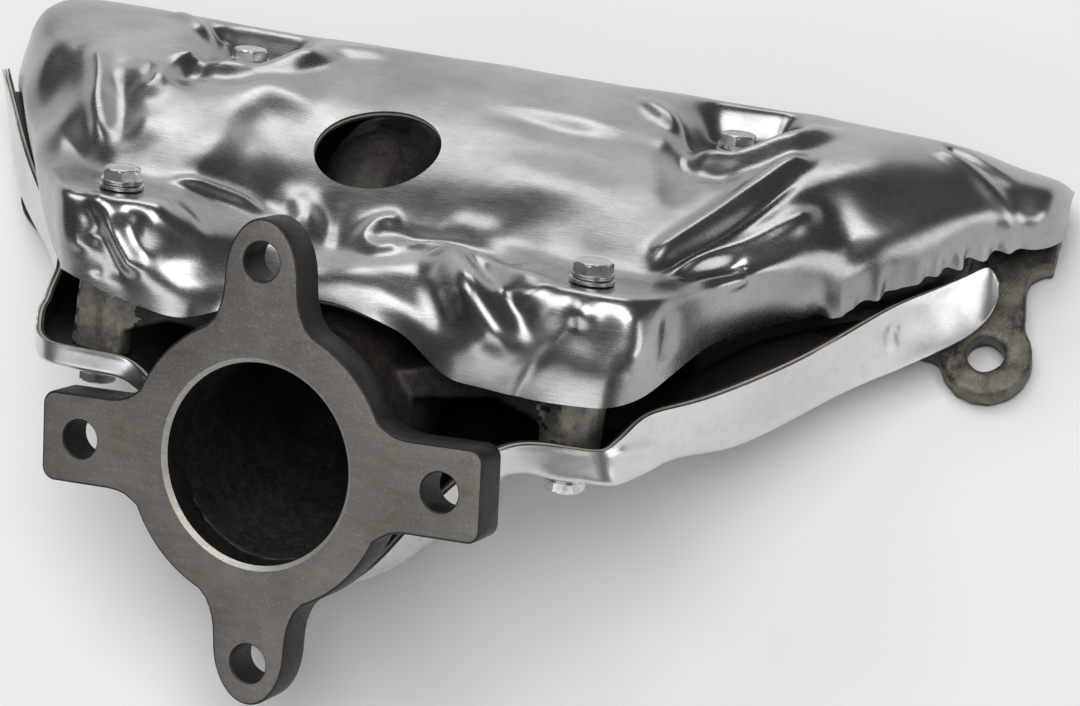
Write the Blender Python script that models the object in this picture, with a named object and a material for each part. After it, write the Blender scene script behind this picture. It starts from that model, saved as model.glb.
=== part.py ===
"""Exhaust manifold of a four-cylinder engine, with its upper and lower heat shields.

One iron casting carries the head flange, four runners, the collector, the outlet flange and the
posts that hold the shields.  Each heat shield is a sandwich: outer skin, insulation mat, inner skin.
Screws with plain washers hold the shields to the posts.

Frame: origin at the middle of the gasket face, +X along the head flange, +Z away from the cylinder
head.  The part lies on its gasket face.  Lengths in the constants are millimetres.
"""

import math

import bmesh
import bpy
import numpy as np

MM = 0.001

# Head flange
FLANGE_THICK = 9.0
PORT_X = (-123.0, -41.0, 41.0, 123.0)
EAR_X = 149.5
EAR_Y = -24.0
EAR_RADIUS = 14.0
STUD_HOLE_RADIUS = 5.75
UPPER_STUDS = ((-149.0, 22.0), (-86.0, 30.0), (0.0, 30.0), (86.0, 30.0), (149.0, 22.0))
LOWER_STUDS = ((-88.0, -30.0), (88.0, -30.0))
LOBE_RADIUS = 12.0
END_LOBE_RADIUS = 15.0

# Runners and collector
RUNNER_BORE = 14.5
RUNNER_OUTER = 19.0
RUNNER_ROOT = 1.0
COLLECTOR_BORE = 18.5
COLLECTOR_OUTER = 23.0
COLLECTOR_Y = -45.0
COLLECTOR_Z = 41.0
COLLECTOR_LINE = tuple((x, COLLECTOR_Y, COLLECTOR_Z) for x in (-82.0, -30.0, 60.0))
COLLECTOR_PASSAGE_SHARE = 0.93

# Outlet flange: centre of its face, its axis and its across direction
OUTLET_CENTRE = np.array((-33.0, -127.3, 84.8))
OUTLET_AXIS = np.array((-0.159, -0.545, 0.823))
OUTLET_ACROSS = np.array((0.983, -0.017, 0.180))
OUTLET_BODY_RADIUS = 41.0
OUTLET_THICK = 12.0
OUTLET_PITCH_RADIUS = 56.5
OUTLET_HOLE_RADIUS = 5.5
OUTLET_EAR_REACH = 69.0
OUTLET_EAR_HALF = 13.0
OUTLET_TIP_RADIUS = 11.5
NECK_OUTER_RADII = (26.0, 32.0, 34.0)
NECK_BORE_RADII = (20.0, 25.0, 28.5)
NECK_ROOT = np.array((-30.0, -47.0, 42.0))
NECK_START = np.array((-29.5, -66.0, 44.0))
NECK_START_AXIS = np.array((0.0, -0.99, 0.14))
NECK_HANDLE = 0.36
NECK_STEPS = 7

# Shield posts: the posts' axis, and the four upper and four lower screw seats
POST_AXIS = np.array((0.0, 0.788, 0.616))
POST_RADIUS = 9.0
REAR_POST_LENGTH = 27.0
WEB_THICK = 12.0
RIB_WIDE = 12.0
RIB_TALL = 18.0
RIB_REACH = 24.0
UPPER_SEATS = {
    "front_left": (-92.0, -57.1, 96.0),
    "front_right": (47.0, -58.6, 90.9),
    "rear_left": (-93.0, 20.0, 29.8),
    "rear_right": (65.0, 19.0, 27.3),
}
LOWER_SEATS = {
    "front_left": (-95.0, -97.9, 64.4),
    "front_right": (46.0, -101.7, 57.4),
    "rear_left": (-94.0, -60.0, 15.9),
    "rear_right": (47.0, -77.1, 25.9),
}
SEAT_HALF = 9.5
SEAT_BLEND = 2.1

# Heat shield sandwich, measured inward from the outer surface
SKIN = 0.5
MAT = 0.7
GAP = 0.3
SHIELD_LAYERS = {
    "outer": (0.0, SKIN),
    "mat": (SKIN + GAP, SKIN + GAP + MAT),
    "inner": (SKIN + MAT + 2 * GAP, 2 * SKIN + MAT + 2 * GAP),
}
SHIELD_THICK = 2 * SKIN + MAT + 2 * GAP
LEAST_MITRE = 0.6
SKIRT_LEAN = 1.5
SKIRT_SHARE = 0.9
SKIRT_MOST = 10.0
SKIRT_FOOT = 12.0
WALL_SWELL = 2.0
WALL_SWELL_SHARE = 0.1

# Screws
THREAD_RADIUS = 3.0
THREAD_HOLE_RADIUS = 3.3
SHIELD_HOLE_RADIUS = 3.6
SHIELD_CUT_DEPTH = 6.0
SHIELD_CUT_LENGTH = 9.0
WASHER_RADIUS = 6.4
WASHER_THICK = 1.2
SCREW_COLLAR_RADIUS = 6.0
SCREW_COLLAR = 1.2
HEX_ACROSS_FLATS = 10.0
HEX_HEIGHT = 3.2
HEX_CHAMFER = 0.5
HEX_TOP_RADIUS = 4.7
TIP_CHAMFER = 0.8
SCREW_REACH = 14.0
SHORT_SCREW_REACH = 6.0
THREAD_CLEAR = 1.5
SCREW_SIDES = 12

# Sensor opening in the upper shield
SENSOR_CENTRE = np.array((-34.0, -15.5, 57.0))
SENSOR_AXIS = np.array((-0.094, 0.374, 0.922))
SENSOR_RADIUS = 19.0
SENSOR_CUT_DEPTH = 14.0
SENSOR_CUT_LENGTH = 30.0


def unit(vector):
    vector = np.asarray(vector, float)
    return vector / np.linalg.norm(vector)


OUTLET_AXIS = unit(OUTLET_AXIS)
OUTLET_ACROSS = unit(OUTLET_ACROSS - OUTLET_AXIS * (OUTLET_ACROSS @ OUTLET_AXIS))
OUTLET_DOWN = np.cross(OUTLET_ACROSS, OUTLET_AXIS)
POST_AXIS = unit(POST_AXIS)


# ---------------------------------------------------------------- scene and mesh helpers


def clear_scene():
    for thing in list(bpy.data.objects):
        bpy.data.objects.remove(thing, do_unlink=True)


def material(name, colour, roughness, metallic):
    made = bpy.data.materials.new(name)
    made.use_nodes = True
    shader = made.node_tree.nodes["Principled BSDF"]
    shader.inputs["Base Color"].default_value = (*colour, 1.0)
    shader.inputs["Roughness"].default_value = roughness
    shader.inputs["Metallic"].default_value = metallic
    return made


def add_object(name, points, faces, mat=None, smooth=True, collection=None):
    """A mesh object from points in millimetres, with its faces turned outward."""
    mesh = bpy.data.meshes.new(name)
    mesh.from_pydata([tuple(float(c) * MM for c in p) for p in points], [], faces)
    work = bmesh.new()
    work.from_mesh(mesh)
    bmesh.ops.recalc_face_normals(work, faces=work.faces)
    work.to_mesh(mesh)
    work.free()
    if smooth:
        mesh.shade_smooth()
        mesh.set_sharp_from_angle(angle=math.radians(35))
    if mat:
        mesh.materials.append(mat)
    made = bpy.data.objects.new(name, mesh)
    (collection or bpy.context.scene.collection).objects.link(made)
    return made


def helper_collection(name):
    made = bpy.data.collections.new(name)
    bpy.context.scene.collection.children.link(made)
    return made


def hide_helpers(collection):
    for thing in collection.objects:
        thing.hide_render = True
        thing.display_type = "WIRE"


def boolean(target, operation, collection):
    made = target.modifiers.new(operation.lower(), "BOOLEAN")
    made.operation = operation
    made.operand_type = "COLLECTION"
    made.collection = collection
    made.solver = "EXACT"


def perpendicular(axis):
    """Two unit vectors square to an axis and to each other."""
    axis = unit(axis)
    first = np.cross(axis, (0.0, 0.0, 1.0) if abs(axis[2]) < 0.9 else (1.0, 0.0, 0.0))
    first = unit(first)
    return first, np.cross(axis, first)


def ring_points(centre, across, up, radius, sides):
    turn = 2 * math.pi / sides
    return [centre + radius * (math.cos(i * turn) * across + math.sin(i * turn) * up) for i in range(sides)]


def loft(rings):
    """Points and faces of a closed body through rings that hold the same number of points."""
    sides = len(rings[0])
    points = [p for ring in rings for p in ring]
    faces = [list(range(sides))[::-1], [(len(rings) - 1) * sides + i for i in range(sides)]]
    for r in range(len(rings) - 1):
        for i in range(sides):
            j = (i + 1) % sides
            faces.append([r * sides + i, r * sides + j, (r + 1) * sides + j, (r + 1) * sides + i])
    return points, faces


def turned(base, axis, profile, sides):
    """A body turned about an axis: profile holds (height, radius) pairs from one end to the other."""
    base = np.asarray(base, float)
    axis = unit(axis)
    across, up = perpendicular(axis)
    return loft([ring_points(base + axis * height, across, up, radius, sides) for height, radius in profile])


def rod(base, axis, length, radius, sides=20):
    return turned(base, axis, ((0.0, radius), (length, radius)), sides)


def smooth_path(knots, steps):
    """A Catmull-Rom curve through the knots."""
    knots = [np.asarray(k, float) for k in knots]
    padded = [2 * knots[0] - knots[1], *knots, 2 * knots[-1] - knots[-2]]
    path = []
    for a, b, c, d in zip(padded, padded[1:], padded[2:], padded[3:]):
        for s in range(steps):
            t = s / steps
            square = (2 * a - 5 * b + 4 * c - d) * t**2
            cube = (3 * b - a - 3 * c + d) * t**3
            path.append(0.5 * (2 * b + (c - a) * t + square + cube))
    path.append(knots[-1])
    return path


def swept(knots, radii, steps=4, sides=20, first_across=(1.0, 0.0, 0.0)):
    """A round tube body along a curve, with a radius for each knot."""
    path = smooth_path(knots, steps)
    sizes = np.interp(np.linspace(0, len(knots) - 1, len(path)), range(len(knots)), radii)
    across = np.asarray(first_across, float)
    rings = []
    for i, centre in enumerate(path):
        along = path[min(i + 1, len(path) - 1)] - path[max(i - 1, 0)]
        if centre is path[0]:
            along = np.subtract(knots[1], knots[0])
        along = unit(along)
        across = unit(across - along * (across @ along))
        rings.append(ring_points(centre, across, np.cross(along, across), sizes[i], sides))
    return loft(rings)


def extruded(outline, origin, across, up, depth):
    """A plate: an outline of (across, up) pairs, pushed along across x up by depth."""
    across = unit(across)
    up = unit(up)
    along = np.cross(across, up)
    origin = np.asarray(origin, float)
    return loft([[origin + a * across + b * up + along * d for a, b in outline] for d in (0.0, depth)])


def arc(x, y, radius, start, end, steps):
    """Points of an arc, angles in degrees."""
    turns = np.radians(np.linspace(start, end, steps + 1))
    return [(x + radius * math.cos(t), y + radius * math.sin(t)) for t in turns]


# ---------------------------------------------------------------- manifold casting


def head_flange_outline():
    """Outline of the head flange, right half first, anticlockwise from the middle of the lower edge."""
    right = [(0.0, -24.0), (64.0, -24.0)]
    right += arc(*LOWER_STUDS[1], LOBE_RADIUS, 200, 340, 4)
    right += [(112.0, -25.0), (128.0, -27.0)]
    right += arc(EAR_X, EAR_Y, EAR_RADIUS, 195, 405, 9)
    right += [(EAR_X + 8.0, EAR_Y + 23.0)]
    right += arc(EAR_X + 14.0, EAR_Y + 24.5, 6.5, 160, 85, 3)
    right += [(EAR_X + 15.0, 22.0)]
    right += arc(*UPPER_STUDS[4], END_LOBE_RADIUS, 15, 120, 4)
    right += [(129.0, 30.0), (108.0, 27.0)]
    right += arc(*UPPER_STUDS[3], LOBE_RADIUS, 20, 160, 4)
    right += [(64.0, 26.0), (43.0, 29.0), (20.0, 27.0)]
    right += arc(*UPPER_STUDS[2], LOBE_RADIUS, 20, 80, 2)
    left = [(-x, y) for x, y in right[::-1] if x > 0]
    return right + left


def outlet_outline():
    """Outline of the outlet flange: a disc with tapered ears above and below, square ears at the sides."""
    corner = 4.0
    half = arc(OUTLET_EAR_REACH - corner, corner - OUTLET_EAR_HALF, corner, -90, 0, 2)
    half += arc(OUTLET_EAR_REACH - corner, OUTLET_EAR_HALF - corner, corner, 0, 90, 2)
    half += [(47.0, OUTLET_EAR_HALF)]
    half += arc(0.0, 0.0, OUTLET_BODY_RADIUS, 22, 66, 5)
    half += [(12.6, 42.0), (11.6, 46.5)]
    tip = arc(0.0, 0.0, OUTLET_TIP_RADIUS, 0, 180, 12)
    half += [(x, OUTLET_PITCH_RADIUS - 5.0 + y * 1.5) for x, y in tip]
    half += [(-11.6, 46.5), (-12.6, 42.0)]
    half += arc(0.0, 0.0, OUTLET_BODY_RADIUS, 114, 158, 5)
    half += [(-47.0, OUTLET_EAR_HALF)]
    return half + [(-x, -y) for x, y in half]


def runner_paths():
    """Centre lines of the four runners, from the gasket face into the collector."""
    y, z = COLLECTOR_Y, COLLECTOR_Z
    paths = []
    for x in PORT_X:
        side = math.copysign(1.0, x)
        if abs(x) > 100.0:
            end = 58.0 if x > 0 else -78.0
            knots = [(x, 0, RUNNER_ROOT), (x, 0, 10), (x - side * 10, -5, 24)]
            knots += [(end + side * 20, -25, 35), (end, y, z)]
        else:
            knots = [(x, 0, RUNNER_ROOT), (x, 0, 12), (x * 0.96, -11, 27), (x * 0.85, y, z)]
        paths.append(knots)
    return paths


def neck_path(end):
    """Centre line of the outlet neck: one even bend from inside the collector, then straight to its end."""
    behind = OUTLET_CENTRE - OUTLET_AXIS * (OUTLET_THICK - 1.0)
    handle = NECK_HANDLE * np.linalg.norm(behind - NECK_START)
    corners = (NECK_START, NECK_START + NECK_START_AXIS * handle, behind - OUTLET_AXIS * handle, behind)
    path = [NECK_ROOT]
    for t in np.linspace(0.0, 1.0, NECK_STEPS, endpoint=False):
        weights = ((1 - t) ** 3, 3 * t * (1 - t) ** 2, 3 * t**2 * (1 - t), t**3)
        path.append(sum(w * corner for w, corner in zip(weights, corners)))
    return [*path, end]


def neck_radii(radii):
    """Radii for the neck's points, from those at the collector, past the bend and at the outlet."""
    return np.interp(range(NECK_STEPS + 2), (0, 3, NECK_STEPS), radii)


def casting_solids(solids):
    """The outer bodies that together make the casting."""
    for number, knots in enumerate(runner_paths(), 1):
        runner = swept(knots, [RUNNER_OUTER] * len(knots), steps=2, sides=14)
        add_object(f"runner_{number}", *runner, collection=solids)
    radii = [COLLECTOR_OUTER] * len(COLLECTOR_LINE)
    collector = swept(COLLECTOR_LINE, radii, steps=1, sides=18, first_across=(0, 1, 0))
    add_object("collector", *collector, collection=solids)
    back = OUTLET_CENTRE - OUTLET_AXIS * OUTLET_THICK
    neck = swept(neck_path(back + OUTLET_AXIS), neck_radii(NECK_OUTER_RADII), steps=1, sides=24)
    add_object("neck", *neck, collection=solids)
    outlet = extruded(outlet_outline(), back, OUTLET_ACROSS, -OUTLET_DOWN, OUTLET_THICK)
    add_object("outlet", *outlet, collection=solids)
    for name, upper in UPPER_SEATS.items():
        top = np.asarray(upper) - POST_AXIS * (SHIELD_THICK + 2 * GAP)
        if name.startswith("front"):
            lower = np.asarray(LOWER_SEATS[name]) + POST_AXIS * (SHIELD_THICK + 2 * GAP)
            post = rod(top, lower - top, np.linalg.norm(lower - top), POST_RADIUS, 14)
            add_object(f"post_{name}", *post, collection=solids)
            add_web(name, (top + lower) / 2, solids)
        else:
            post = rod(top, -POST_AXIS, REAR_POST_LENGTH, POST_RADIUS, 14)
            add_object(f"post_{name}", *post, collection=solids)
    for name in ("rear_left", "rear_right"):
        top = np.asarray(LOWER_SEATS[name]) + POST_AXIS * (SHIELD_THICK + 2 * GAP)
        post = rod(top, POST_AXIS, REAR_POST_LENGTH, POST_RADIUS, 14)
        add_object(f"lower_post_{name}", *post, collection=solids)


def add_web(name, middle, solids):
    """The arm that joins a front post to the neck, and the rib that joins it to the collector."""
    inward = 1.0 if middle[0] < OUTLET_CENTRE[0] else -1.0
    toward = np.array((inward, 0.0, 0.0))
    behind = np.cross(POST_AXIS, toward)
    outline = [(0.0, -17.0), (22.0, -9.0), (58.0, -16.0), (58.0, -8.0), (24.0, 2.0), (0.0, 13.0)]
    web = extruded(outline, middle - behind * WEB_THICK / 2, toward, POST_AXIS, -WEB_THICK)
    add_object(f"web_{name}", *web, smooth=False, collection=solids)
    half_wide, half_tall = RIB_WIDE / 2, RIB_TALL / 2
    outline = [(-half_wide, -half_tall), (half_wide, -half_tall), (half_wide, half_tall), (-half_wide, half_tall)]
    back = unit(np.array((0.0, COLLECTOR_Y, COLLECTOR_Z)) - np.array((0.0, middle[1], middle[2])))
    side = np.array((1.0, 0.0, 0.0))
    rib = extruded(outline, middle, side, np.cross(back, side), RIB_REACH)
    add_object(f"rib_{name}", *rib, smooth=False, collection=solids)


def screw_reach(side, name):
    """How far a screw goes into the casting: short where the collector's passage lies behind it."""
    return SHORT_SCREW_REACH if side == "lower" and name.startswith("rear") else SCREW_REACH


def casting_cutters(cutters):
    """Passages, bores and screw holes of the casting."""
    for number, knots in enumerate(runner_paths(), 1):
        knots = [(knots[0][0], knots[0][1], -1.0), *knots[1:]]
        passage = swept(knots, [RUNNER_BORE] * len(knots), steps=2, sides=12)
        add_object(f"passage_{number}", *passage, collection=cutters)
    inside = [(x * COLLECTOR_PASSAGE_SHARE, y, z) for x, y, z in COLLECTOR_LINE]
    passage = swept(inside, [COLLECTOR_BORE] * len(inside), steps=1, sides=16, first_across=(0, 1, 0))
    add_object("collector_passage", *passage, collection=cutters)
    path = neck_path(OUTLET_CENTRE + OUTLET_AXIS)
    passage = swept(path, neck_radii(NECK_BORE_RADII), steps=1, sides=24)
    add_object("neck_passage", *passage, collection=cutters)
    holes = [(-EAR_X, EAR_Y), (EAR_X, EAR_Y), *UPPER_STUDS, *LOWER_STUDS]
    for number, (x, y) in enumerate(holes, 1):
        hole = rod((x, y, -1.0), (0, 0, 1), FLANGE_THICK + 2.0, STUD_HOLE_RADIUS, 14)
        add_object(f"stud_hole_{number}", *hole, collection=cutters)
    for number in range(4):
        turn = math.radians(90.0 * number)
        offset = OUTLET_PITCH_RADIUS * (math.cos(turn) * OUTLET_ACROSS + math.sin(turn) * OUTLET_DOWN)
        hole = rod(OUTLET_CENTRE + offset + OUTLET_AXIS, -OUTLET_AXIS, OUTLET_THICK + 2.0, OUTLET_HOLE_RADIUS, 16)
        add_object(f"outlet_hole_{number + 1}", *hole, collection=cutters)
    for side, seats in (("upper", UPPER_SEATS), ("lower", LOWER_SEATS)):
        inward = -POST_AXIS if side == "upper" else POST_AXIS
        for name, seat in seats.items():
            depth = screw_reach(side, name) + THREAD_CLEAR
            hole = rod(np.asarray(seat) + inward * SHIELD_THICK, inward, depth, THREAD_HOLE_RADIUS, 10)
            add_object(f"{side}_thread_{name}", *hole, collection=cutters)


def manifold_casting():
    iron = material("cast_iron", (0.075, 0.070, 0.066), 0.62, 0.85)
    solids = helper_collection("casting_solids")
    cutters = helper_collection("casting_cutters")
    casting_solids(solids)
    casting_cutters(cutters)
    hide_helpers(solids)
    hide_helpers(cutters)
    plate = extruded(head_flange_outline(), (0, 0, 0), (1, 0, 0), (0, 1, 0), FLANGE_THICK)
    body = add_object("manifold_casting", *plate, mat=iron)
    boolean(body, "UNION", solids)
    boolean(body, "DIFFERENCE", cutters)


# ---------------------------------------------------------------- heat shields


# Upper shield sections: x, back edge (y, z), rear of the front screw seats (y, z), front crest (y, z),
# front hem (y, z), and how far the roof swells between the back edge and the front seats.
UPPER_SECTIONS = (
    (-170.5, 30.0, 17.0, 16.0, 24.0, 8.0, 23.0, 3.0, 17.0, 2.0),
    (-161.0, 39.5, 20.0, 8.0, 41.0, -2.0, 39.0, -7.0, 28.0, 9.0),
    (-146.0, 41.0, 20.0, -10.0, 54.0, -22.0, 55.0, -31.0, 38.0, 10.0),
    (-128.0, 41.0, 20.0, -30.0, 68.0, -44.0, 76.0, -57.0, 54.0, 12.0),
    (-114.0, 41.0, 20.0, -42.0, 78.0, -58.0, 96.0, -73.0, 68.0, 12.0),
    (-102.5, 41.0, 20.0, -48.4, 84.9, -64.6, 105.6, -83.0, 90.5, 8.0),
    (-81.5, 41.0, 20.0, -48.4, 84.9, -64.6, 105.6, -88.0, 88.0, 8.0),
    (-68.0, 41.0, 20.0, -46.0, 78.0, -68.0, 98.0, -90.0, 88.0, 7.0),
    (-50.0, 41.0, 20.0, -42.0, 70.0, -62.0, 84.0, -82.0, 86.0, 7.0),
    (-28.0, 41.0, 20.0, -40.0, 70.0, -60.0, 80.0, -77.0, 88.0, 8.0),
    (-4.0, 41.0, 20.0, -42.0, 71.0, -64.0, 89.0, -82.0, 89.0, 8.0),
    (18.0, 41.0, 20.0, -45.0, 74.0, -68.0, 98.0, -94.0, 89.0, 7.0),
    (37.5, 41.0, 20.0, -49.9, 79.8, -66.1, 100.5, -94.0, 86.0, 5.0),
    (56.5, 41.0, 20.0, -49.9, 79.8, -66.1, 100.5, -93.0, 86.0, 5.0),
    (68.0, 41.0, 20.0, -47.0, 77.0, -62.0, 95.0, -85.0, 81.0, 6.0),
    (76.0, 41.0, 20.0, -38.0, 71.0, -49.0, 77.0, -60.0, 61.0, 8.0),
    (90.0, 41.0, 20.0, -24.0, 64.0, -34.0, 66.0, -44.0, 47.0, 10.0),
    (110.0, 40.0, 20.0, -4.0, 55.0, -19.0, 57.0, -32.0, 41.0, 9.0),
    (132.0, 38.0, 20.0, 8.0, 48.0, -3.0, 49.0, -15.0, 37.0, 6.0),
    (152.0, 33.0, 19.0, 18.0, 34.0, 12.0, 34.0, 5.0, 24.0, 3.0),
    (166.0, 30.0, 14.0, 24.0, 20.0, 19.0, 19.0, 14.0, 12.5, 1.0),
)
REAR_ROW_FRACTIONS = (0.16, 0.285)

# Lower shield sections: rim, outer corner, belly and inner end of the sheet, each (x, y, z).
LOWER_SECTIONS = (
    ((-176.0, 8.0, 24.0), (-176.5, 3.5, 14.0), (-168.0, 7.0, 12.0), (-160.0, 10.0, 12.0)),
    ((-153.5, -25.0, 33.0), (-159.0, -31.0, 18.0), (-151.0, -34.0, 12.0), (-139.0, -33.0, 12.0)),
    ((-134.0, -49.0, 42.0), (-137.0, -55.0, 30.0), (-127.0, -52.0, 16.0), (-122.0, -38.0, 12.0)),
    ((-123.0, -66.0, 52.0), (-124.0, -72.0, 41.0), (-118.0, -65.0, 24.0), (-117.0, -45.0, 12.0)),
    ((-118.0, -86.0, 66.0), (-118.0, -91.0, 60.0), (-112.0, -76.0, 36.0), (-113.0, -51.0, 11.0)),
    ((-105.0, -101.5, 80.0), (-105.0, -107.1, 76.2), (-105.0, -85.6, 48.6), (-105.0, -54.0, 8.2)),
    ((-84.0, -101.5, 80.0), (-84.0, -107.1, 76.2), (-84.0, -85.6, 48.6), (-83.0, -54.0, 8.2)),
    ((-77.0, -103.5, 77.0), (-77.0, -109.0, 69.0), (-76.0, -88.0, 42.0), (-74.0, -54.0, 8.2)),
    ((-71.5, -110.0, 69.0), (-70.0, -113.0, 57.0), (-67.0, -93.0, 34.0), (-65.0, -55.0, 8.2)),
    ((-68.0, -123.0, 58.0), (-64.0, -121.0, 46.0), (-59.0, -100.0, 23.0), (-57.0, -54.0, 7.5)),
    ((-54.0, -143.5, 48.5), (-51.0, -134.0, 34.0), (-48.0, -112.0, 12.0), (-47.0, -53.0, 7.0)),
    ((-27.0, -151.0, 47.5), (-27.0, -140.0, 28.0), (-27.0, -118.0, 8.0), (-27.0, -48.0, 7.0)),
    ((-5.0, -146.0, 55.5), (-4.0, -136.0, 34.0), (-4.0, -118.0, 11.0), (-4.0, -50.0, 7.0)),
    ((16.0, -122.0, 70.0), (16.0, -121.0, 50.0), (16.0, -108.0, 25.0), (16.0, -58.0, 9.5)),
    ((36.0, -104.0, 77.0), (36.0, -109.5, 67.4), (36.0, -89.4, 41.6), (36.0, -67.2, 13.3)),
    ((58.0, -101.0, 74.0), (60.0, -108.5, 66.1), (59.0, -89.4, 41.6), (57.5, -67.2, 13.3)),
    ((66.5, -86.0, 68.0), (73.0, -90.0, 48.0), (70.0, -76.0, 26.0), (66.0, -58.0, 12.0)),
    ((80.0, -74.0, 58.0), (88.0, -76.0, 30.0), (81.0, -64.0, 16.0), (74.0, -48.0, 12.0)),
    ((102.0, -52.0, 46.0), (110.0, -51.0, 18.0), (101.0, -46.0, 12.0), (90.0, -37.0, 12.0)),
    ((125.0, -25.0, 34.0), (132.0, -31.0, 17.0), (127.0, -32.0, 12.5), (119.0, -32.0, 12.0)),
    ((148.0, -2.0, 23.0), (155.0, -6.0, 17.0), (152.0, -4.5, 12.5), (149.0, -3.5, 12.0)),
)


def monotone(knots, values, at):
    """A smooth curve through values that makes no bumps between equal ones."""
    knots = np.asarray(knots, float)
    values = np.asarray(values, float)
    gaps = np.diff(knots)
    rates = np.diff(values) / gaps
    slopes = np.zeros(len(values))
    for i in range(1, len(values) - 1):
        if rates[i - 1] * rates[i] > 0:
            before, after = 2 * gaps[i] + gaps[i - 1], gaps[i] + 2 * gaps[i - 1]
            slopes[i] = (before + after) / (before / rates[i - 1] + after / rates[i])
    slopes[0], slopes[-1] = rates[0], rates[-1]
    i = int(np.clip(np.searchsorted(knots, at) - 1, 0, len(gaps) - 1))
    t = (at - knots[i]) / gaps[i]
    rise = gaps[i] * ((t**3 - 2 * t**2 + t) * slopes[i] + (t**3 - t**2) * slopes[i + 1])
    return values[i] * (2 * t**3 - 3 * t**2 + 1) + values[i + 1] * (3 * t**2 - 2 * t**3) + rise


def seat_plane_height(seat, y):
    """Height of a screw seat's plane at y: the seat is square to the posts."""
    return seat[2] - (y - seat[1]) * POST_AXIS[1] / POST_AXIS[2]


def upper_columns():
    """The x of the upper shield's mesh lines: every section, and lines between those far apart."""
    columns = []
    sections = [row[0] for row in UPPER_SECTIONS]
    for left, right in zip(sections, sections[1:]):
        steps = 2 if right - left > 19.5 else 1
        columns += [left + (right - left) * s / steps for s in range(steps)]
    return [*columns, sections[-1]]


def upper_line(x):
    """Points across the upper shield at x, from the back hem over the roof to the front hem."""
    knots = [row[0] for row in UPPER_SECTIONS]
    value = [monotone(knots, [row[i] for row in UPPER_SECTIONS], x) for i in range(1, 10)]
    back_y, back_z, rear_y, rear_z, crest_y, crest_z, hem_y, hem_z, swell = value
    skirt = SKIRT_SHARE * min(SKIRT_MOST, back_z - SKIRT_FOOT)
    line = [(x, back_y + SKIRT_LEAN, back_z - skirt), (x, back_y, back_z)]
    for t in (*REAR_ROW_FRACTIONS, 0.5, 0.76):
        y = back_y + (rear_y - back_y) * t
        z = back_z + (rear_z - back_z) * t + swell * 4 * t * (1 - t)
        if t in REAR_ROW_FRACTIONS:
            for seat in (UPPER_SEATS["rear_left"], UPPER_SEATS["rear_right"]):
                if abs(x - seat[0]) <= SEAT_HALF + SEAT_BLEND:
                    z = seat_plane_height(seat, y)
        line.append((x, y, z))
    line += [(x, rear_y, rear_z), (x, crest_y, crest_z)]
    wall = min(WALL_SWELL, WALL_SWELL_SHARE * abs(crest_y - hem_y))
    line.append((x, (crest_y + hem_y) / 2 - wall, (crest_z + hem_z) / 2 + wall))
    line.append((x, hem_y, hem_z))
    return line


def lower_lines():
    """Points across the lower shield for each mesh line, from the rim down and back to the inner end."""
    lines = []
    for section in LOWER_SECTIONS:
        rim, corner, belly, end = np.array(section)
        lines.append([rim, (rim + corner) / 2, corner, (corner + belly) / 2, belly, (belly + end) / 2, end])
    return lines


def sheet_normals(points, faces):
    """Normals at the points of a triangle mesh, longer at folds so that an offset sheet keeps its thickness."""
    normals = np.zeros_like(points)
    angles = np.zeros(len(points))
    for face in faces:
        corners = [points[i] for i in face]
        normal = unit(np.cross(corners[1] - corners[0], corners[2] - corners[0]))
        for k in range(3):
            one = unit(corners[(k + 1) % 3] - corners[k])
            two = unit(corners[(k + 2) % 3] - corners[k])
            angle = math.acos(max(-1.0, min(1.0, one @ two)))
            normals[face[k]] += normal * angle
            angles[face[k]] += angle
    lengths = np.linalg.norm(normals, axis=1)
    return normals / (lengths * np.maximum(lengths / angles, LEAST_MITRE))[:, None]


def sheet_layer(lines, near, far):
    """A closed sheet between two depths below the surface through lines of points."""
    columns, rows = len(lines), len(lines[0])
    points = np.array([p for line in lines for p in line], float)
    faces = []
    for c in range(columns - 1):
        for r in range(rows - 1):
            i = c * rows + r
            faces += [(i, i + rows + 1, i + rows), (i, i + 1, i + rows + 1)]
    normals = sheet_normals(points, faces)
    count = len(points)
    both = np.vstack([points - normals * near, points - normals * far])
    closed = list(faces) + [tuple(count + i for i in face[::-1]) for face in faces]
    rim = [c * rows for c in range(columns)]
    rim += [(columns - 1) * rows + r for r in range(1, rows)]
    rim += [c * rows + rows - 1 for c in range(columns - 2, -1, -1)]
    rim += [r for r in range(rows - 2, 0, -1)]
    for a, b in zip(rim, rim[1:] + rim[:1]):
        closed += [(b, a, count + a), (b, count + a, count + b)]
    return both, closed


def shield(name, lines, openings):
    """The three layers of a heat shield, each with the shield's openings cut through."""
    steel = material(f"{name}_steel", (0.62, 0.61, 0.60), 0.28, 1.0)
    fibre = material(f"{name}_fibre", (0.55, 0.52, 0.46), 0.95, 0.0)
    for layer, (near, far) in SHIELD_LAYERS.items():
        points, faces = sheet_layer(lines, near, far)
        sheet = add_object(f"{name}_{layer}", points, faces, fibre if layer == "mat" else steel)
        boolean(sheet, "DIFFERENCE", openings)


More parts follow.
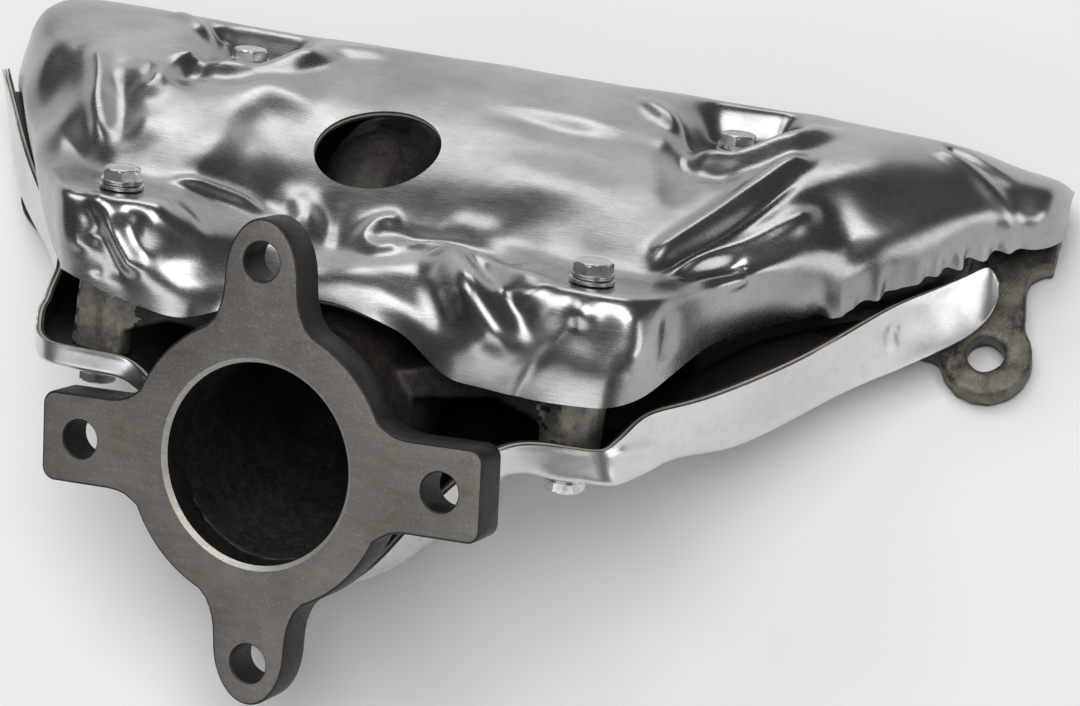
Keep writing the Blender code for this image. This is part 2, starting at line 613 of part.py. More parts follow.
def heat_shields():
    for side, seats in (("upper", UPPER_SEATS), ("lower", LOWER_SEATS)):
        openings = helper_collection(f"{side}_shield_openings")
        outward = POST_AXIS if side == "upper" else -POST_AXIS
        for name, seat in seats.items():
            start = np.asarray(seat) - outward * SHIELD_CUT_DEPTH
            hole = rod(start, outward, SHIELD_CUT_LENGTH, SHIELD_HOLE_RADIUS, 10)
            add_object(f"{side}_hole_{name}", *hole, collection=openings)
        if side == "upper":
            start = SENSOR_CENTRE - unit(SENSOR_AXIS) * SENSOR_CUT_DEPTH
            hole = rod(start, SENSOR_AXIS, SENSOR_CUT_LENGTH, SENSOR_RADIUS, 24)
            add_object("sensor_opening", *hole, collection=openings)
        hide_helpers(openings)
        if side == "upper":
            shield("upper_shield", [upper_line(x) for x in upper_columns()], openings)
        else:
            shield("lower_shield", lower_lines(), openings)


# ---------------------------------------------------------------- screws


def washer(name, seat, outward, steel):
    base = np.asarray(seat) + outward * GAP
    across, up = perpendicular(outward)
    rings = []
    for height, radius in (
        (0.0, SHIELD_HOLE_RADIUS),
        (0.0, WASHER_RADIUS),
        (WASHER_THICK, WASHER_RADIUS),
        (WASHER_THICK, SHIELD_HOLE_RADIUS),
    ):
        rings.append(ring_points(base + outward * height, across, up, radius, SCREW_SIDES))
    points, faces = loft(rings)
    faces = faces[2:]
    last = 3 * SCREW_SIDES
    for i in range(SCREW_SIDES):
        j = (i + 1) % SCREW_SIDES
        faces.append([last + i, last + j, j, i])
    add_object(name, points, faces, steel)


def screw(name, seat, outward, reach, steel):
    """A hex screw with a round collar under its head, made as one turned body with a six-sided end."""
    seat = np.asarray(seat)
    base = seat + outward * (2 * GAP + WASHER_THICK)
    tip = base - outward * (reach + SHIELD_THICK + WASHER_THICK)
    length = np.linalg.norm(base - tip)
    across, up = perpendicular(outward)
    corner = HEX_ACROSS_FLATS / 2 / math.cos(math.radians(30))
    rings = [ring_points(tip, across, up, THREAD_RADIUS - TIP_CHAMFER, SCREW_SIDES)]
    for height, radius in (
        (TIP_CHAMFER, THREAD_RADIUS),
        (length, THREAD_RADIUS),
        (length, SCREW_COLLAR_RADIUS),
        (length + SCREW_COLLAR, SCREW_COLLAR_RADIUS),
    ):
        rings.append(ring_points(tip + outward * height, across, up, radius, SCREW_SIDES))
    head = tip + outward * (length + SCREW_COLLAR)
    rings.append(hex_ring(head, across, up, corner))
    rings.append(hex_ring(head + outward * (HEX_HEIGHT - HEX_CHAMFER), across, up, corner))
    rings.append(ring_points(head + outward * HEX_HEIGHT, across, up, HEX_TOP_RADIUS, SCREW_SIDES))
    points, faces = loft(rings)
    add_object(name, points, faces, steel)


def hex_ring(centre, across, up, corner):
    """Points round a hexagon, two to a side."""
    corners = ring_points(centre, across, up, corner, 6)
    ring = []
    for start, end in zip(corners, corners[1:] + corners[:1]):
        ring += [start, (start + end) / 2]
    return ring


def screws_and_washers():
    plated = material("plated_steel", (0.42, 0.41, 0.39), 0.38, 1.0)
    for side, seats in (("upper", UPPER_SEATS), ("lower", LOWER_SEATS)):
        outward = POST_AXIS if side == "upper" else -POST_AXIS
        for name, seat in seats.items():
            washer(f"{side}_washer_{name}", seat, outward, plated)
            screw(f"{side}_screw_{name}", seat, outward, screw_reach(side, name), plated)


clear_scene()
manifold_casting()
heat_shields()
screws_and_washers()
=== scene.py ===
"""Looks of the exhaust manifold: crumpled heat shields, cast iron, plated screws, light and camera.

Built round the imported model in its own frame: origin in the middle of the gasket face, +X along the
head flange, +Z away from the cylinder head.  Shape constants are millimetres.
"""

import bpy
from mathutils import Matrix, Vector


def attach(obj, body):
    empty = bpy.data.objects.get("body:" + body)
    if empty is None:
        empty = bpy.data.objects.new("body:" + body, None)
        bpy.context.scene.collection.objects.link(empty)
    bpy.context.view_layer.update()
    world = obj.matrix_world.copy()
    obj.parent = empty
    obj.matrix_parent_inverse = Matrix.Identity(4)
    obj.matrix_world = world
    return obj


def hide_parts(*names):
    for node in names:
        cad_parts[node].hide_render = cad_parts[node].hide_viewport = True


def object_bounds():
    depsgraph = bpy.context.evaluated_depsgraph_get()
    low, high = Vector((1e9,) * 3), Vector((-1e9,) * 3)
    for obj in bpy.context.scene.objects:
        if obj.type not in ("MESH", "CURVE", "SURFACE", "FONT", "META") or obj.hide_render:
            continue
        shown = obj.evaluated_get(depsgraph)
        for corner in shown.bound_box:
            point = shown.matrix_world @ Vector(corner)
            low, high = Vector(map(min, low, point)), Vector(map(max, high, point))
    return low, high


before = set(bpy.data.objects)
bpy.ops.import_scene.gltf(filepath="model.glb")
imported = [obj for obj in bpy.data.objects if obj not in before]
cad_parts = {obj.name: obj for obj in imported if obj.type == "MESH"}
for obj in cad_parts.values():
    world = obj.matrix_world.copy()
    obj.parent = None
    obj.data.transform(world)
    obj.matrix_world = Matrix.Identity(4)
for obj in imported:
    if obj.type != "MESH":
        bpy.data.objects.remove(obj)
cad_box = [list(corner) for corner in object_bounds()]

import math

import bpy
import numpy as np
from mathutils import Matrix, Vector, noise

MM = 0.001

# ---------------------------------------------------------------- dimensions taken from the solid model

POST_AXIS = np.array((0.0, 0.788, 0.616))
UPPER_SEATS = {
    "front_left": (-92.0, -57.1, 96.0),
    "front_right": (47.0, -58.6, 90.9),
    "rear_left": (-93.0, 20.0, 29.8),
    "rear_right": (65.0, 19.0, 27.3),
}
LOWER_SEATS = {
    "front_left": (-95.0, -97.9, 64.4),
    "front_right": (46.0, -101.7, 57.4),
    "rear_left": (-94.0, -60.0, 15.9),
    "rear_right": (47.0, -77.1, 25.9),
}
SHIELD_LAYERS = {"outer": (0.0, 0.5), "mat": (0.8, 1.5), "inner": (1.8, 2.3)}
SENSOR_CENTRE = np.array((-34.0, -15.5, 57.0))
SENSOR_AXIS = np.array((-0.094, 0.374, 0.922))
SENSOR_RADIUS = 19.0
OUTLET_CENTRE = np.array((-33.0, -127.3, 84.8))
OUTLET_AXIS = np.array((-0.159, -0.545, 0.823))
OUTLET_ACROSS = np.array((0.983, -0.017, 0.180))
OUTLET_BORE = 28.5
OUTLET_BODY_RADIUS = 41.0
OUTLET_THICK = 12.0
OUTLET_PITCH_RADIUS = 56.5
OUTLET_HOLE_RADIUS = 5.5
FRONT_POSTS = ("front_left", "front_right")
REAR_POSTS = ("rear_left", "rear_right")
SHIELD_HOLE_RADIUS = 3.6
GAP = 0.3

# Both section tables follow the solids except near their right ends, which are shaped for the look.
# Upper shield: x, back edge (y, z), rear of the front seats (y, z), crest (y, z), hem (y, z), roof swell
UPPER_SECTIONS = (
    (-170.5, 30, 17, 16, 24, 8, 23, 3, 17, 2),
    (-161, 39.5, 20, 8, 41, -2, 39, -7, 28, 9),
    (-146, 41, 20, -10, 54, -22, 55, -31, 38, 10),
    (-128, 41, 20, -30, 68, -44, 76, -57, 54, 12),
    (-114, 41, 20, -42, 78, -58, 96, -73, 68, 12),
    (-102.5, 41, 20, -48.4, 84.9, -64.6, 105.6, -83, 90.5, 8),
    (-81.5, 41, 20, -48.4, 84.9, -64.6, 105.6, -88, 88, 8),
    (-68, 41, 20, -46, 78, -68, 98, -90, 88, 7),
    (-50, 41, 20, -42, 70, -62, 84, -82, 86, 7),
    (-28, 41, 20, -40, 70, -60, 80, -77, 88, 8),
    (-4, 41, 20, -42, 71, -64, 89, -82, 89, 8),
    (18, 41, 20, -45, 74, -68, 98, -94, 89, 7),
    (37.5, 41, 20, -49.9, 79.8, -66.1, 100.5, -94, 86, 5),
    (56.5, 41, 20, -49.9, 79.8, -66.1, 100.5, -93, 86, 5),
    (68, 41, 20, -47, 77, -62, 95, -85, 81, 6),
    (76, 41, 20, -38, 71, -49, 77, -60, 61, 8),
    (90, 41, 20, -24, 64, -34, 66, -44, 47, 10),
    (110, 40, 20, -4, 55, -19, 57, -32, 41, 9),
    (132, 38, 20, 8, 48, -3, 49, -15, 37, 6),
    (152, 33.5, 19, 17, 37, 9, 37, 3, 25, 3),
    (160, 32.5, 18.5, 18, 34, 11, 33.5, 6, 22.5, 3),
    (164.2, 31.5, 17.5, 20.5, 29, 15, 28, 10, 18.5, 2),
    (166, 30, 14.5, 24, 20, 20, 18.5, 15, 13.5, 0.5),
)

# Lower shield: rim, outer corner, belly and inner end, each (x, y, z)
LOWER_SECTIONS = (
    ((-176, 8, 24), (-176.5, 3.5, 14), (-168, 7, 12), (-160, 10, 12)),
    ((-153.5, -25, 33), (-159, -31, 18), (-151, -34, 12), (-139, -33, 12)),
    ((-134, -49, 42), (-137, -55, 30), (-127, -52, 16), (-122, -38, 12)),
    ((-123, -66, 52), (-124, -72, 41), (-118, -65, 24), (-117, -45, 12)),
    ((-118, -86, 66), (-118, -91, 60), (-112, -76, 36), (-113, -51, 11)),
    ((-105, -101.5, 80), (-105, -107.1, 76.2), (-105, -85.6, 48.6), (-105, -54, 8.2)),
    ((-84, -101.5, 80), (-84, -107.1, 76.2), (-84, -85.6, 48.6), (-83, -54, 8.2)),
    ((-77, -103.5, 77), (-77, -109, 69), (-76, -88, 42), (-74, -54, 8.2)),
    ((-71.5, -110, 69), (-70, -113, 57), (-67, -93, 34), (-65, -55, 8.2)),
    ((-68, -123, 58), (-64, -121, 46), (-59, -100, 23), (-57, -54, 7.5)),
    ((-54, -143.5, 48.5), (-51, -134, 34), (-48, -112, 12), (-47, -53, 7)),
    ((-27, -151, 47.5), (-27, -140, 28), (-27, -118, 8), (-27, -48, 7)),
    ((-5, -146, 55.5), (-4, -136, 34), (-4, -118, 11), (-4, -50, 7)),
    ((16, -122, 70), (16, -121, 50), (16, -108, 25), (16, -58, 9.5)),
    ((36, -104, 77), (36, -109.5, 67.4), (36, -89.4, 41.6), (36, -67.2, 13.3)),
    ((58, -101, 74), (60, -108.5, 66.1), (59, -89.4, 41.6), (55.5, -50, 10.5)),
    ((62.5, -95, 72), (67.5, -100.5, 58), (64.5, -83.5, 34), (60.5, -44, 12)),
    ((66.5, -86, 68), (73, -90, 48), (70, -76, 26), (65, -38, 12)),
    ((80, -74, 58), (88, -76, 30), (81, -64, 16), (75, -36, 12)),
    ((102, -52, 46), (110, -51, 18), (101, -46, 12), (92, -29, 12)),
    ((123, -24.5, 32.5), (129, -35.5, 15.5), (124, -34, 12.5), (117, -32, 12)),
    ((133.5, -15.5, 29.5), (140, -26.5, 14.5), (136, -25, 12.5), (130, -22, 12)),
    ((141.2, -8.5, 27), (146.5, -20, 15.5), (143.5, -18.5, 13), (139, -15.5, 12)),
    ((146.7, -3.6, 25), (149.8, -15, 17.8), (147.5, -13, 14.5), (144.5, -10.5, 13)),
    ((149.8, -7, 22.8), (150.8, -10.5, 20.3), (149.5, -9.7, 18.5), (148, -8.6, 17.2)),
)


def unit(vector):
    vector = np.asarray(vector, float)
    return vector / np.linalg.norm(vector)


POST_AXIS = unit(POST_AXIS)
OUTLET_AXIS = unit(OUTLET_AXIS)
OUTLET_ACROSS = unit(OUTLET_ACROSS - OUTLET_AXIS * (OUTLET_ACROSS @ OUTLET_AXIS))
OUTLET_DOWN = np.cross(OUTLET_ACROSS, OUTLET_AXIS)

# ---------------------------------------------------------------- mesh helpers

SQUARE = ((-1, -1), (1, -1), (1, 1), (-1, 1))


def perpendicular(axis):
    axis = unit(axis)
    first = unit(np.cross(axis, (0.0, 0.0, 1.0) if abs(axis[2]) < 0.9 else (1.0, 0.0, 0.0)))
    return first, np.cross(axis, first)


def make_object(name, points, faces, mat=None, sharp=None):
    """A mesh object from points in millimetres, shaded smooth below the angle sharp if one is given."""
    mesh = bpy.data.meshes.new(name)
    mesh.from_pydata((np.asarray(points, float) * MM).tolist(), [], [list(map(int, f)) for f in faces])
    mesh.update()
    if sharp:
        mesh.shade_smooth()
        mesh.set_sharp_from_angle(angle=math.radians(sharp))
    if mat:
        mesh.materials.append(mat)
    made = bpy.data.objects.new(name, mesh)
    bpy.context.scene.collection.objects.link(made)
    return made


def turned(base, axis, profile, sides):
    """Points and faces of a body turned about an axis, from (height, radius) pairs."""
    base = np.asarray(base, float)
    axis = unit(axis)
    across, up = perpendicular(axis)
    turn = 2 * math.pi / sides
    points = []
    for height, radius in profile:
        for i in range(sides):
            ray = math.cos(i * turn) * across + math.sin(i * turn) * up
            points.append(base + axis * height + radius * ray)
    return points, tube_faces(len(profile), sides)


def tube_faces(rings, sides):
    faces = [list(range(sides))[::-1], [(rings - 1) * sides + i for i in range(sides)]]
    for r in range(rings - 1):
        for i in range(sides):
            j = (i + 1) % sides
            faces.append([r * sides + i, r * sides + j, (r + 1) * sides + j, (r + 1) * sides + i])
    return faces


def apply_modifiers(thing):
    graph = bpy.context.evaluated_depsgraph_get()
    done = bpy.data.meshes.new_from_object(thing.evaluated_get(graph))
    thing.modifiers.clear()
    thing.data = done
    return thing


def cut(thing, cutters, solver="MANIFOLD"):
    """Cuts the cutters out of a piece and deletes them."""
    for cutter in cutters:
        mod = thing.modifiers.new("cut", "BOOLEAN")
        mod.operation = "DIFFERENCE"
        mod.object = cutter
        mod.solver = solver
    apply_modifiers(thing)
    for cutter in cutters:
        bpy.data.objects.remove(cutter, do_unlink=True)
    return thing


def monotone(knots, values, at):
    """Smooth curves through columns of values that make no bumps between equal ones."""
    knots = np.asarray(knots, float)
    values = np.asarray(values, float)
    at = np.asarray(at, float)
    gaps = np.diff(knots)[:, None]
    rates = np.diff(values, axis=0) / gaps
    slopes = np.zeros_like(values)
    before = 2 * gaps[1:] + gaps[:-1]
    after = gaps[1:] + 2 * gaps[:-1]
    same = rates[:-1] * rates[1:] > 0
    safe = np.where(same, rates[:-1], 1.0), np.where(same, rates[1:], 1.0)
    slopes[1:-1] = np.where(same, (before + after) / (before / safe[0] + after / safe[1]), 0.0)
    slopes[0], slopes[-1] = rates[0], rates[-1]
    i = np.clip(np.searchsorted(knots, at) - 1, 0, len(knots) - 2)
    gap = gaps[i]
    t = ((at - knots[i])[:, None]) / gap
    rise = gap * ((t**3 - 2 * t**2 + t) * slopes[i] + (t**3 - t**2) * slopes[i + 1])
    return values[i] * (2 * t**3 - 3 * t**2 + 1) + values[i + 1] * (3 * t**2 - 2 * t**3) + rise


def soften(grid, axis, sigma):
    """Rounds folds of a grid of points along one direction and leaves its edges in place."""
    reach = int(3 * sigma) + 1
    weights = np.exp(-0.5 * (np.arange(-reach, reach + 1) / sigma) ** 2)
    weights /= weights.sum()
    grid = np.moveaxis(grid, axis, 0)
    first, last = grid[:1], grid[-1:]
    before = 2 * first - grid[1 : reach + 1][::-1]
    after = 2 * last - grid[-reach - 1 : -1][::-1]
    padded = np.concatenate([before, grid, after])
    out = sum(w * padded[k : k + len(grid)] for k, w in enumerate(weights))
    return np.moveaxis(out, 0, axis)


def grid_normals(grid):
    """Unit normals of a grid of points, on the side that lies left of going along, then across."""
    along = np.gradient(grid, axis=0)
    across = np.gradient(grid, axis=1)
    normals = np.cross(across, along)
    return normals / np.maximum(np.linalg.norm(normals, axis=2), 1e-9)[..., None]


def grid_sheet(name, grid, normals, near, far, mat, step, squeeze):
    """A closed sheet between two depths below a grid; squeeze scales the depths column by column."""
    keep_columns = sorted(set(range(0, grid.shape[0], step)) | {grid.shape[0] - 1})
    keep_rows = sorted(set(range(0, grid.shape[1], step)) | {grid.shape[1] - 1})
    surface = grid[keep_columns][:, keep_rows]
    normal = normals[keep_columns][:, keep_rows]
    columns, rows = surface.shape[:2]
    inward = normal * squeeze[keep_columns][:, None, None]
    top = (surface - inward * near).reshape(-1, 3)
    bottom = (surface - inward * far).reshape(-1, 3)
    i = (np.arange(columns - 1)[:, None] * rows + np.arange(rows - 1)[None, :]).ravel()
    upper = np.stack([i, i + 1, i + rows + 1, i + rows], axis=1)
    count = columns * rows
    faces = upper.tolist() + (upper[:, ::-1] + count).tolist()
    rim = [c * rows for c in range(columns)]
    rim += [(columns - 1) * rows + r for r in range(1, rows)]
    rim += [c * rows + rows - 1 for c in range(columns - 2, -1, -1)]
    rim += list(range(rows - 2, 0, -1))
    for a, b in zip(rim, rim[1:] + rim[:1]):
        faces.append([a, b, count + b, count + a])
    return make_object(name, np.vstack([top, bottom]), faces, mat, sharp=60)


# ---------------------------------------------------------------- dents and folds

FOLD_END = 0.12
SEAT_HEIGHT = 12.0


def line_distance(points, line):
    """Distance of each point to a line of corners, and how far along the line its nearest point lies."""
    line = np.asarray(line, float)
    lengths = np.linalg.norm(np.diff(line, axis=0), axis=1)
    total = lengths.sum()
    best = np.full(len(points), 1e9)
    share = np.zeros(len(points))
    done = 0.0
    for start, end, length in zip(line, line[1:], lengths):
        t = np.clip((points - start) @ (end - start) / length**2, 0, 1)
        distance = np.linalg.norm(points - start - t[:, None] * (end - start), axis=1)
        closer = distance < best
        best = np.where(closer, distance, best)
        share = np.where(closer, (done + t * length) / total, share)
        done += length
    return best, share


def fold(points, line, height, width, fade, crisp=False):
    """A ridge along a line, or a valley if its height is negative, that fades towards its ends."""
    smooth_line = monotone(range(len(line)), line, np.linspace(0, len(line) - 1, 5 * len(line)))
    distance, share = line_distance(points, smooth_line)
    body = np.exp(-distance / width) if crisp else np.exp(-((distance / width) ** 2))
    ends = np.clip(np.minimum(share, 1 - share) / fade, 0, 1)
    return height * (body * (FOLD_END + (1 - FOLD_END) * ends * ends * (3 - 2 * ends)))


def dent(points, centre, height, width):
    return height * np.exp(-np.sum(((points - np.asarray(centre)) / np.asarray(width)) ** 2, axis=1))


def crumple(points, scale, seed):
    """Smooth random waves about as wide as the scale, between -1 and 1."""
    shift = Vector((seed * 7.31, seed * 3.17, seed * 5.71))
    return np.array([noise.noise(Vector(p) / scale + shift) for p in points])


def ease(low, high, value):
    t = np.clip((value - low) / (high - low), 0, 1)
    return t * t * (3 - 2 * t)


def flatten_seats(grid, seats, outward, reach, blend):
    """Presses the sheet flat within reach of each screw and blends it into its surroundings."""
    flat = grid.reshape(-1, 3).copy()
    for seat in seats.values():
        off = flat - np.asarray(seat)
        height = off @ outward
        radius = np.linalg.norm(off - height[:, None] * outward, axis=1)
        share = (1 - ease(reach, reach + blend, radius)) * (np.abs(height) < SEAT_HEIGHT)
        flat -= (height * share)[:, None] * outward
    return flat.reshape(grid.shape)


# ---------------------------------------------------------------- upper heat shield

# Mesh rows between one line of the shield's sections and the next, from the back hem to the front hem
UPPER_ROWS = (7, 13, 13, 22, 26, 22, 32, 22, 22)
UPPER_COLUMNS = 430
ROOF_LINES = 6
# Where the flat of a rear pocket ends and where its slope meets the roof, from its screw
REAR_POCKET = (9.0, 21.0)
# Where the round bend of the right lobe begins and where it is full, in x
LOBE_ROUND = (80.0, 100.0)
# The scalloped stretch of the hem: how it comes in and goes out in x, then its pitch, height and reach
HEM_IN = (96.0, 108.0)
HEM_OUT = (150.0, 158.0)
SCALLOP = 6.6
SCALLOP_HEIGHT = 1.7
SCALLOP_ROWS = 15.0
HEM_RISE = 0.9
HEM_RISE_ROWS = 5.0


def upper_grid():
    """The upper shield's outer surface as a grid of points, folds rounded, before its dents."""
    table = np.array(UPPER_SECTIONS)
    x = np.linspace(table[0, 0], table[-1, 0], UPPER_COLUMNS)
    curves = monotone(table[:, 0], table[:, 1:], x).T
    back_y, back_z, rear_y, rear_z, crest_y, crest_z, hem_y, hem_z, swell = curves
    skirt = 0.9 * np.minimum(10.0, back_z - 12.0)
    lines = [(back_y + 1.5, back_z - skirt), (back_y, back_z)]
    for t in (0.16, 0.285, 0.5, 0.76):
        y = back_y + (rear_y - back_y) * t
        z = back_z + (rear_z - back_z) * t + swell * 4 * t * (1 - t)
        if t < 0.3:
            for name in REAR_POSTS:
                seat = UPPER_SEATS[name]
                plane = seat[2] - (y - seat[1]) * POST_AXIS[1] / POST_AXIS[2]
                share = 1 - ease(*REAR_POCKET, np.abs(x - seat[0]))
                z = z + (plane - z) * share
        lines.append((y, z))
    wall = np.minimum(2.0, 0.1 * np.abs(crest_y - hem_y))
    lines += [(rear_y, rear_z), (crest_y, crest_z)]
    lines += [((crest_y + hem_y) / 2 - wall, (crest_z + hem_z) / 2 + wall), (hem_y, hem_z)]
    rows = np.concatenate([[0], np.cumsum(UPPER_ROWS)])
    values = np.array([np.concatenate([y, z]) for y, z in lines])
    at = np.arange(rows[-1] + 1)
    roof_lines, front_lines = slice(1, ROOF_LINES + 1), slice(ROOF_LINES + 1, None)
    roof_rows, front_rows = rows[roof_lines], rows[front_lines]
    roof = monotone(roof_rows, values[roof_lines], np.clip(at, roof_rows[0], roof_rows[-1]))
    front = monotone(front_rows, values[front_lines], np.clip(at, front_rows[0], front_rows[-1]))
    plain = np.array([np.interp(at, rows, column) for column in values.T]).T
    on_roof = (at >= roof_rows[0]) & (at <= roof_rows[-1])
    whole = np.where(on_roof[:, None], roof, plain)
    whole = np.where((at >= front_rows[0])[:, None], front, whole)
    count = len(x)
    grid = np.stack([np.broadcast_to(x, (len(at), count)), whole[:, :count], whole[:, count:]], axis=2)
    grid = np.ascontiguousarray(np.moveaxis(grid, 0, 1))
    grid = soften(grid, 1, 3.6)
    # the right lobe bends over in one round curve
    lobe = ease(*LOBE_ROUND, grid[..., :1])
    grid = grid * (1 - lobe) + soften(grid, 1, 10.0) * lobe
    return soften(grid, 0, 2.4)


# Folds and dents of the upper shield, each listed one by one.  A fold has its line of corners, height, width
# and fade, and True if it is crisp; a dent has its centre, height and widths.
UPPER_DENTS = (
    # left lobe: the long crease that runs down to the front left screw, and the hollow to its right
    ([(-134, 8, 54), (-124, -9, 64), (-117, -23, 72), (-109, -38, 80)], 2.6, 3.2, 0.2),
    ([(-119, -2, 60), (-110, -22, 73), (-101, -38, 80)], -2.4, 5.5, 0.3),
    ([(-113, -4, 63), (-107, -9, 65), (-106, 8, 50), (-106, 20, 36)], 2.4, 5.0, 0.3),
    ([(-104, -6, 64), (-100, 4, 56), (-99, 16, 42)], -2.2, 4.5, 0.3),
    ((-127, -30, 72), 2.6, (9, 14, 14)),
    ((-146, -2, 52), 2.2, (8, 12, 10)),
    ((-103, -28, 76), 1.6, (7, 8, 8)),
    ([(-116, 10, 50), (-104, 9, 50), (-93, 8, 50), (-82, 12, 46), (-72, 19, 38)], 2.4, 5.0, 0.3),
    # folds behind the rear left screw
    ([(-128, 37, 24), (-120, 34, 27), (-112, 29, 30), (-105, 25, 26)], 2.2, 3.0, 0.3),
    ([(-116, 37, 23), (-110, 33, 25), (-104, 31, 22)], -2.2, 2.6, 0.3),
    ([(-82, 30, 22), (-70, 30, 29), (-58, 34, 28), (-44, 37, 24)], 1.8, 5.0, 0.4),
    ([(-112, 3, 57), (-105, 8, 51), (-94, 8, 49), (-84, 12, 44), (-74, 20, 38), (-64, 30, 30)],
     4.2, 5.0, 0.25),
    # front left pocket: the S-shaped fold with its loop, the seam below it and the bulge to its right
    ([(-98, -68, 104), (-94, -66.5, 105), (-90, -68, 104), (-87, -73, 101), (-83, -78, 99), (-78, -83, 95)],
     2.6, 3.4, 0.2),
    ([(-87, -67, 104), (-84, -71, 102), (-81, -76, 100), (-75, -80, 97)], -1.5, 4.0, 0.3),
    ([(-94, -72, 102), (-90, -76, 100), (-87, -80, 96), (-84, -85, 91)], -1.5, 3.2, 0.25),
    ([(-99, -69, 104), (-98, -74, 102), (-97, -80, 97)], 0.9, 2.6, 0.3),
    ([(-94, -74, 101), (-92, -79, 97), (-92, -84, 92)], -0.9, 1.6, 0.1, True),
    ([(-82, -64, 103), (-74, -65, 99), (-67, -60, 91)], 1.5, 7.0, 0.3),
    ((-70, -77, 97), -1.2, (10, 6, 7)),
    ([(-84, -48, 86), (-75, -46, 82), (-66, -46, 78), (-55, -49, 76)], 1.9, 2.4, 0.3),
    ([(-80, -40, 81), (-70, -39, 77), (-58, -42, 74)], -0.7, 3.0, 0.4),
    # between the pocket and the sensor opening
    ([(-88, 8, 46), (-76, 2, 52), (-66, 0, 53), (-56, -4, 54)], 1.4, 7.0, 0.4),
    ((-72, -14, 64), -1.8, (16, 12, 12)),
    ([(-58, -38, 72), (-50, -40, 71), (-44, -46, 74), (-42, -56, 79)], 1.8, 5.0, 0.4),
    ([(-46, -36, 70), (-38, -44, 73), (-34, -54, 77), (-30, -66, 83)], -1.8, 5.5, 0.4),
    # the ring fold that runs into the front right pocket
    ([(-16, -40, 71), (-23, -43, 73), (-25, -49, 76), (-19, -54, 79), (-12, -51, 78)], 1.7, 3.4, 0.15),
    ([(-14, -51, 78), (-2, -50.5, 78), (11, -53, 82), (24, -60, 92), (38, -64, 98)], 1.6, 3.2, 0.15),
    ([(-19, -46, 75), (-10, -46, 75), (0, -46, 76), (12, -48, 79), (26, -54, 87)], -2.0, 3.4, 0.18),
    ([(-6, -38, 70), (4, -40, 71), (16, -41, 73)], 0.9, 5.0, 0.35),
    # bulges of the front wall between the pockets
    ([(-1, -51, 79), (6, -58, 87), (12, -65, 94), (20, -74, 97), (28, -82, 96), (31, -87, 92)],
     3.6, 5.5, 0.2),
    ([(8, -51, 80), (17, -60, 90), (24, -68, 98), (30, -74, 97), (36, -82, 95)], -2.2, 3.6, 0.25),
    ([(-6, -58, 83), (1, -68, 92), (8, -79, 94), (12, -88, 92)], -1.8, 7.0, 0.3),
    ((-22, -66, 84), 2.0, (11, 9, 9)),
    # front right pocket: fan of small folds, the seam with its knot, the hollow flap and its rounded edge
    ([(40, -63, 96), (34, -69, 99), (28, -73, 97)], 0.8, 2.4, 0.4),
    ([(44, -67, 100), (38, -72, 98), (34, -79, 96)], 0.9, 2.6, 0.4),
    ([(48, -73, 98), (43, -80, 96), (38, -86, 92), (33, -96, 83)], -1.3, 1.4, 0.1, True),
    ((49, -71.5, 98.5), 1.5, (3.4, 3.4, 3.4)),
    ((54, -79, 95), -1.1, (8, 7, 7)),
    ([(60, -65, 98), (62, -71, 96), (63, -76, 93), (62, -82, 89)], 1.3, 4.0, 0.3),
    ([(69, -62, 90), (70, -68, 86), (69, -75, 80)], -1.8, 2.2, 0.25),
    # creases that run up from beside the front right screw
    ([(58, -44, 77), (64, -33, 71), (72, -20, 65), (80, -7, 59), (87, 5, 53), (93, 10, 50)],
     2.8, 3.6, 0.12),
    ([(61, -47, 78), (68, -36, 72), (76, -24, 67), (84, -12, 61), (90, 0, 55)], -2.6, 2.2, 0.15),
    ([(64, -48, 78), (72, -38, 72), (80, -31, 68), (90, -22, 63), (101, -8, 58)], 2.2, 3.4, 0.2),
    ([(66, -48, 77), (72, -43, 73.5), (78, -38, 70), (84, -35, 68)], -2.8, 2.4, 0.2),
    ([(72, -47, 74), (79, -43, 70.5), (85, -38, 67)], 1.6, 2.2, 0.2),
    # roof behind the front right screw, down to the rear right screw
    ([(50, 19, 31), (53, 8, 42), (57, -6, 56), (59, -22, 66)], -2.0, 4.5, 0.3),
    ([(30, 33, 27), (42, 24, 34), (51, 16, 38), (58, 9, 43)], 2.6, 3.6, 0.25),
    ([(52, 12, 40), (60, 6, 46), (70, 5, 47), (80, 11, 46), (89, 20, 40), (98, 28, 30)], 3.8, 4.6, 0.25),
    ([(40, 14, 41), (52, 10, 44), (60, 8, 46), (70, 8, 46), (82, 12, 43), (94, 20, 38)], 3.0, 5.0, 0.3),
    ((66, -3, 52), -1.6, (6, 4, 6)),
    ((24, -20, 64), 1.6, (22, 14, 12)),
    ([(-20, 16, 43), (0, 14, 44), (22, 15, 43), (40, 13, 43)], 0.9, 7.0, 0.4),
    ([(-14, 14, 44), (4, 10, 47), (22, 8, 48), (40, 8, 46)], -1.2, 6.0, 0.4),
    # right lobe
    ([(126, 31, 32), (133, 27, 35), (141, 22, 37), (149, 16, 34), (155, 11, 27)], -2.0, 2.2, 0.1),
    ([(124, 26, 38), (131, 21, 41), (140, 15, 41), (148, 9, 36), (152, 5, 29)], 1.6, 3.0, 0.15),
    ((112, -4, 56), 0.9, (16, 14, 14)),
    ((92, -18, 62), 1.6, (9, 9, 9)),
    ([(96, -2, 58), (106, -14, 58), (114, -24, 50)], -1.6, 6.0, 0.3),
)


def upper_dents(points):
    """How far each point of the upper shield stands out from its pressed shape."""
    total = np.zeros(len(points))
    for place, *sizes in UPPER_DENTS:
        shape = fold if isinstance(place, list) else dent
        total += shape(points, place, *sizes)
    return total


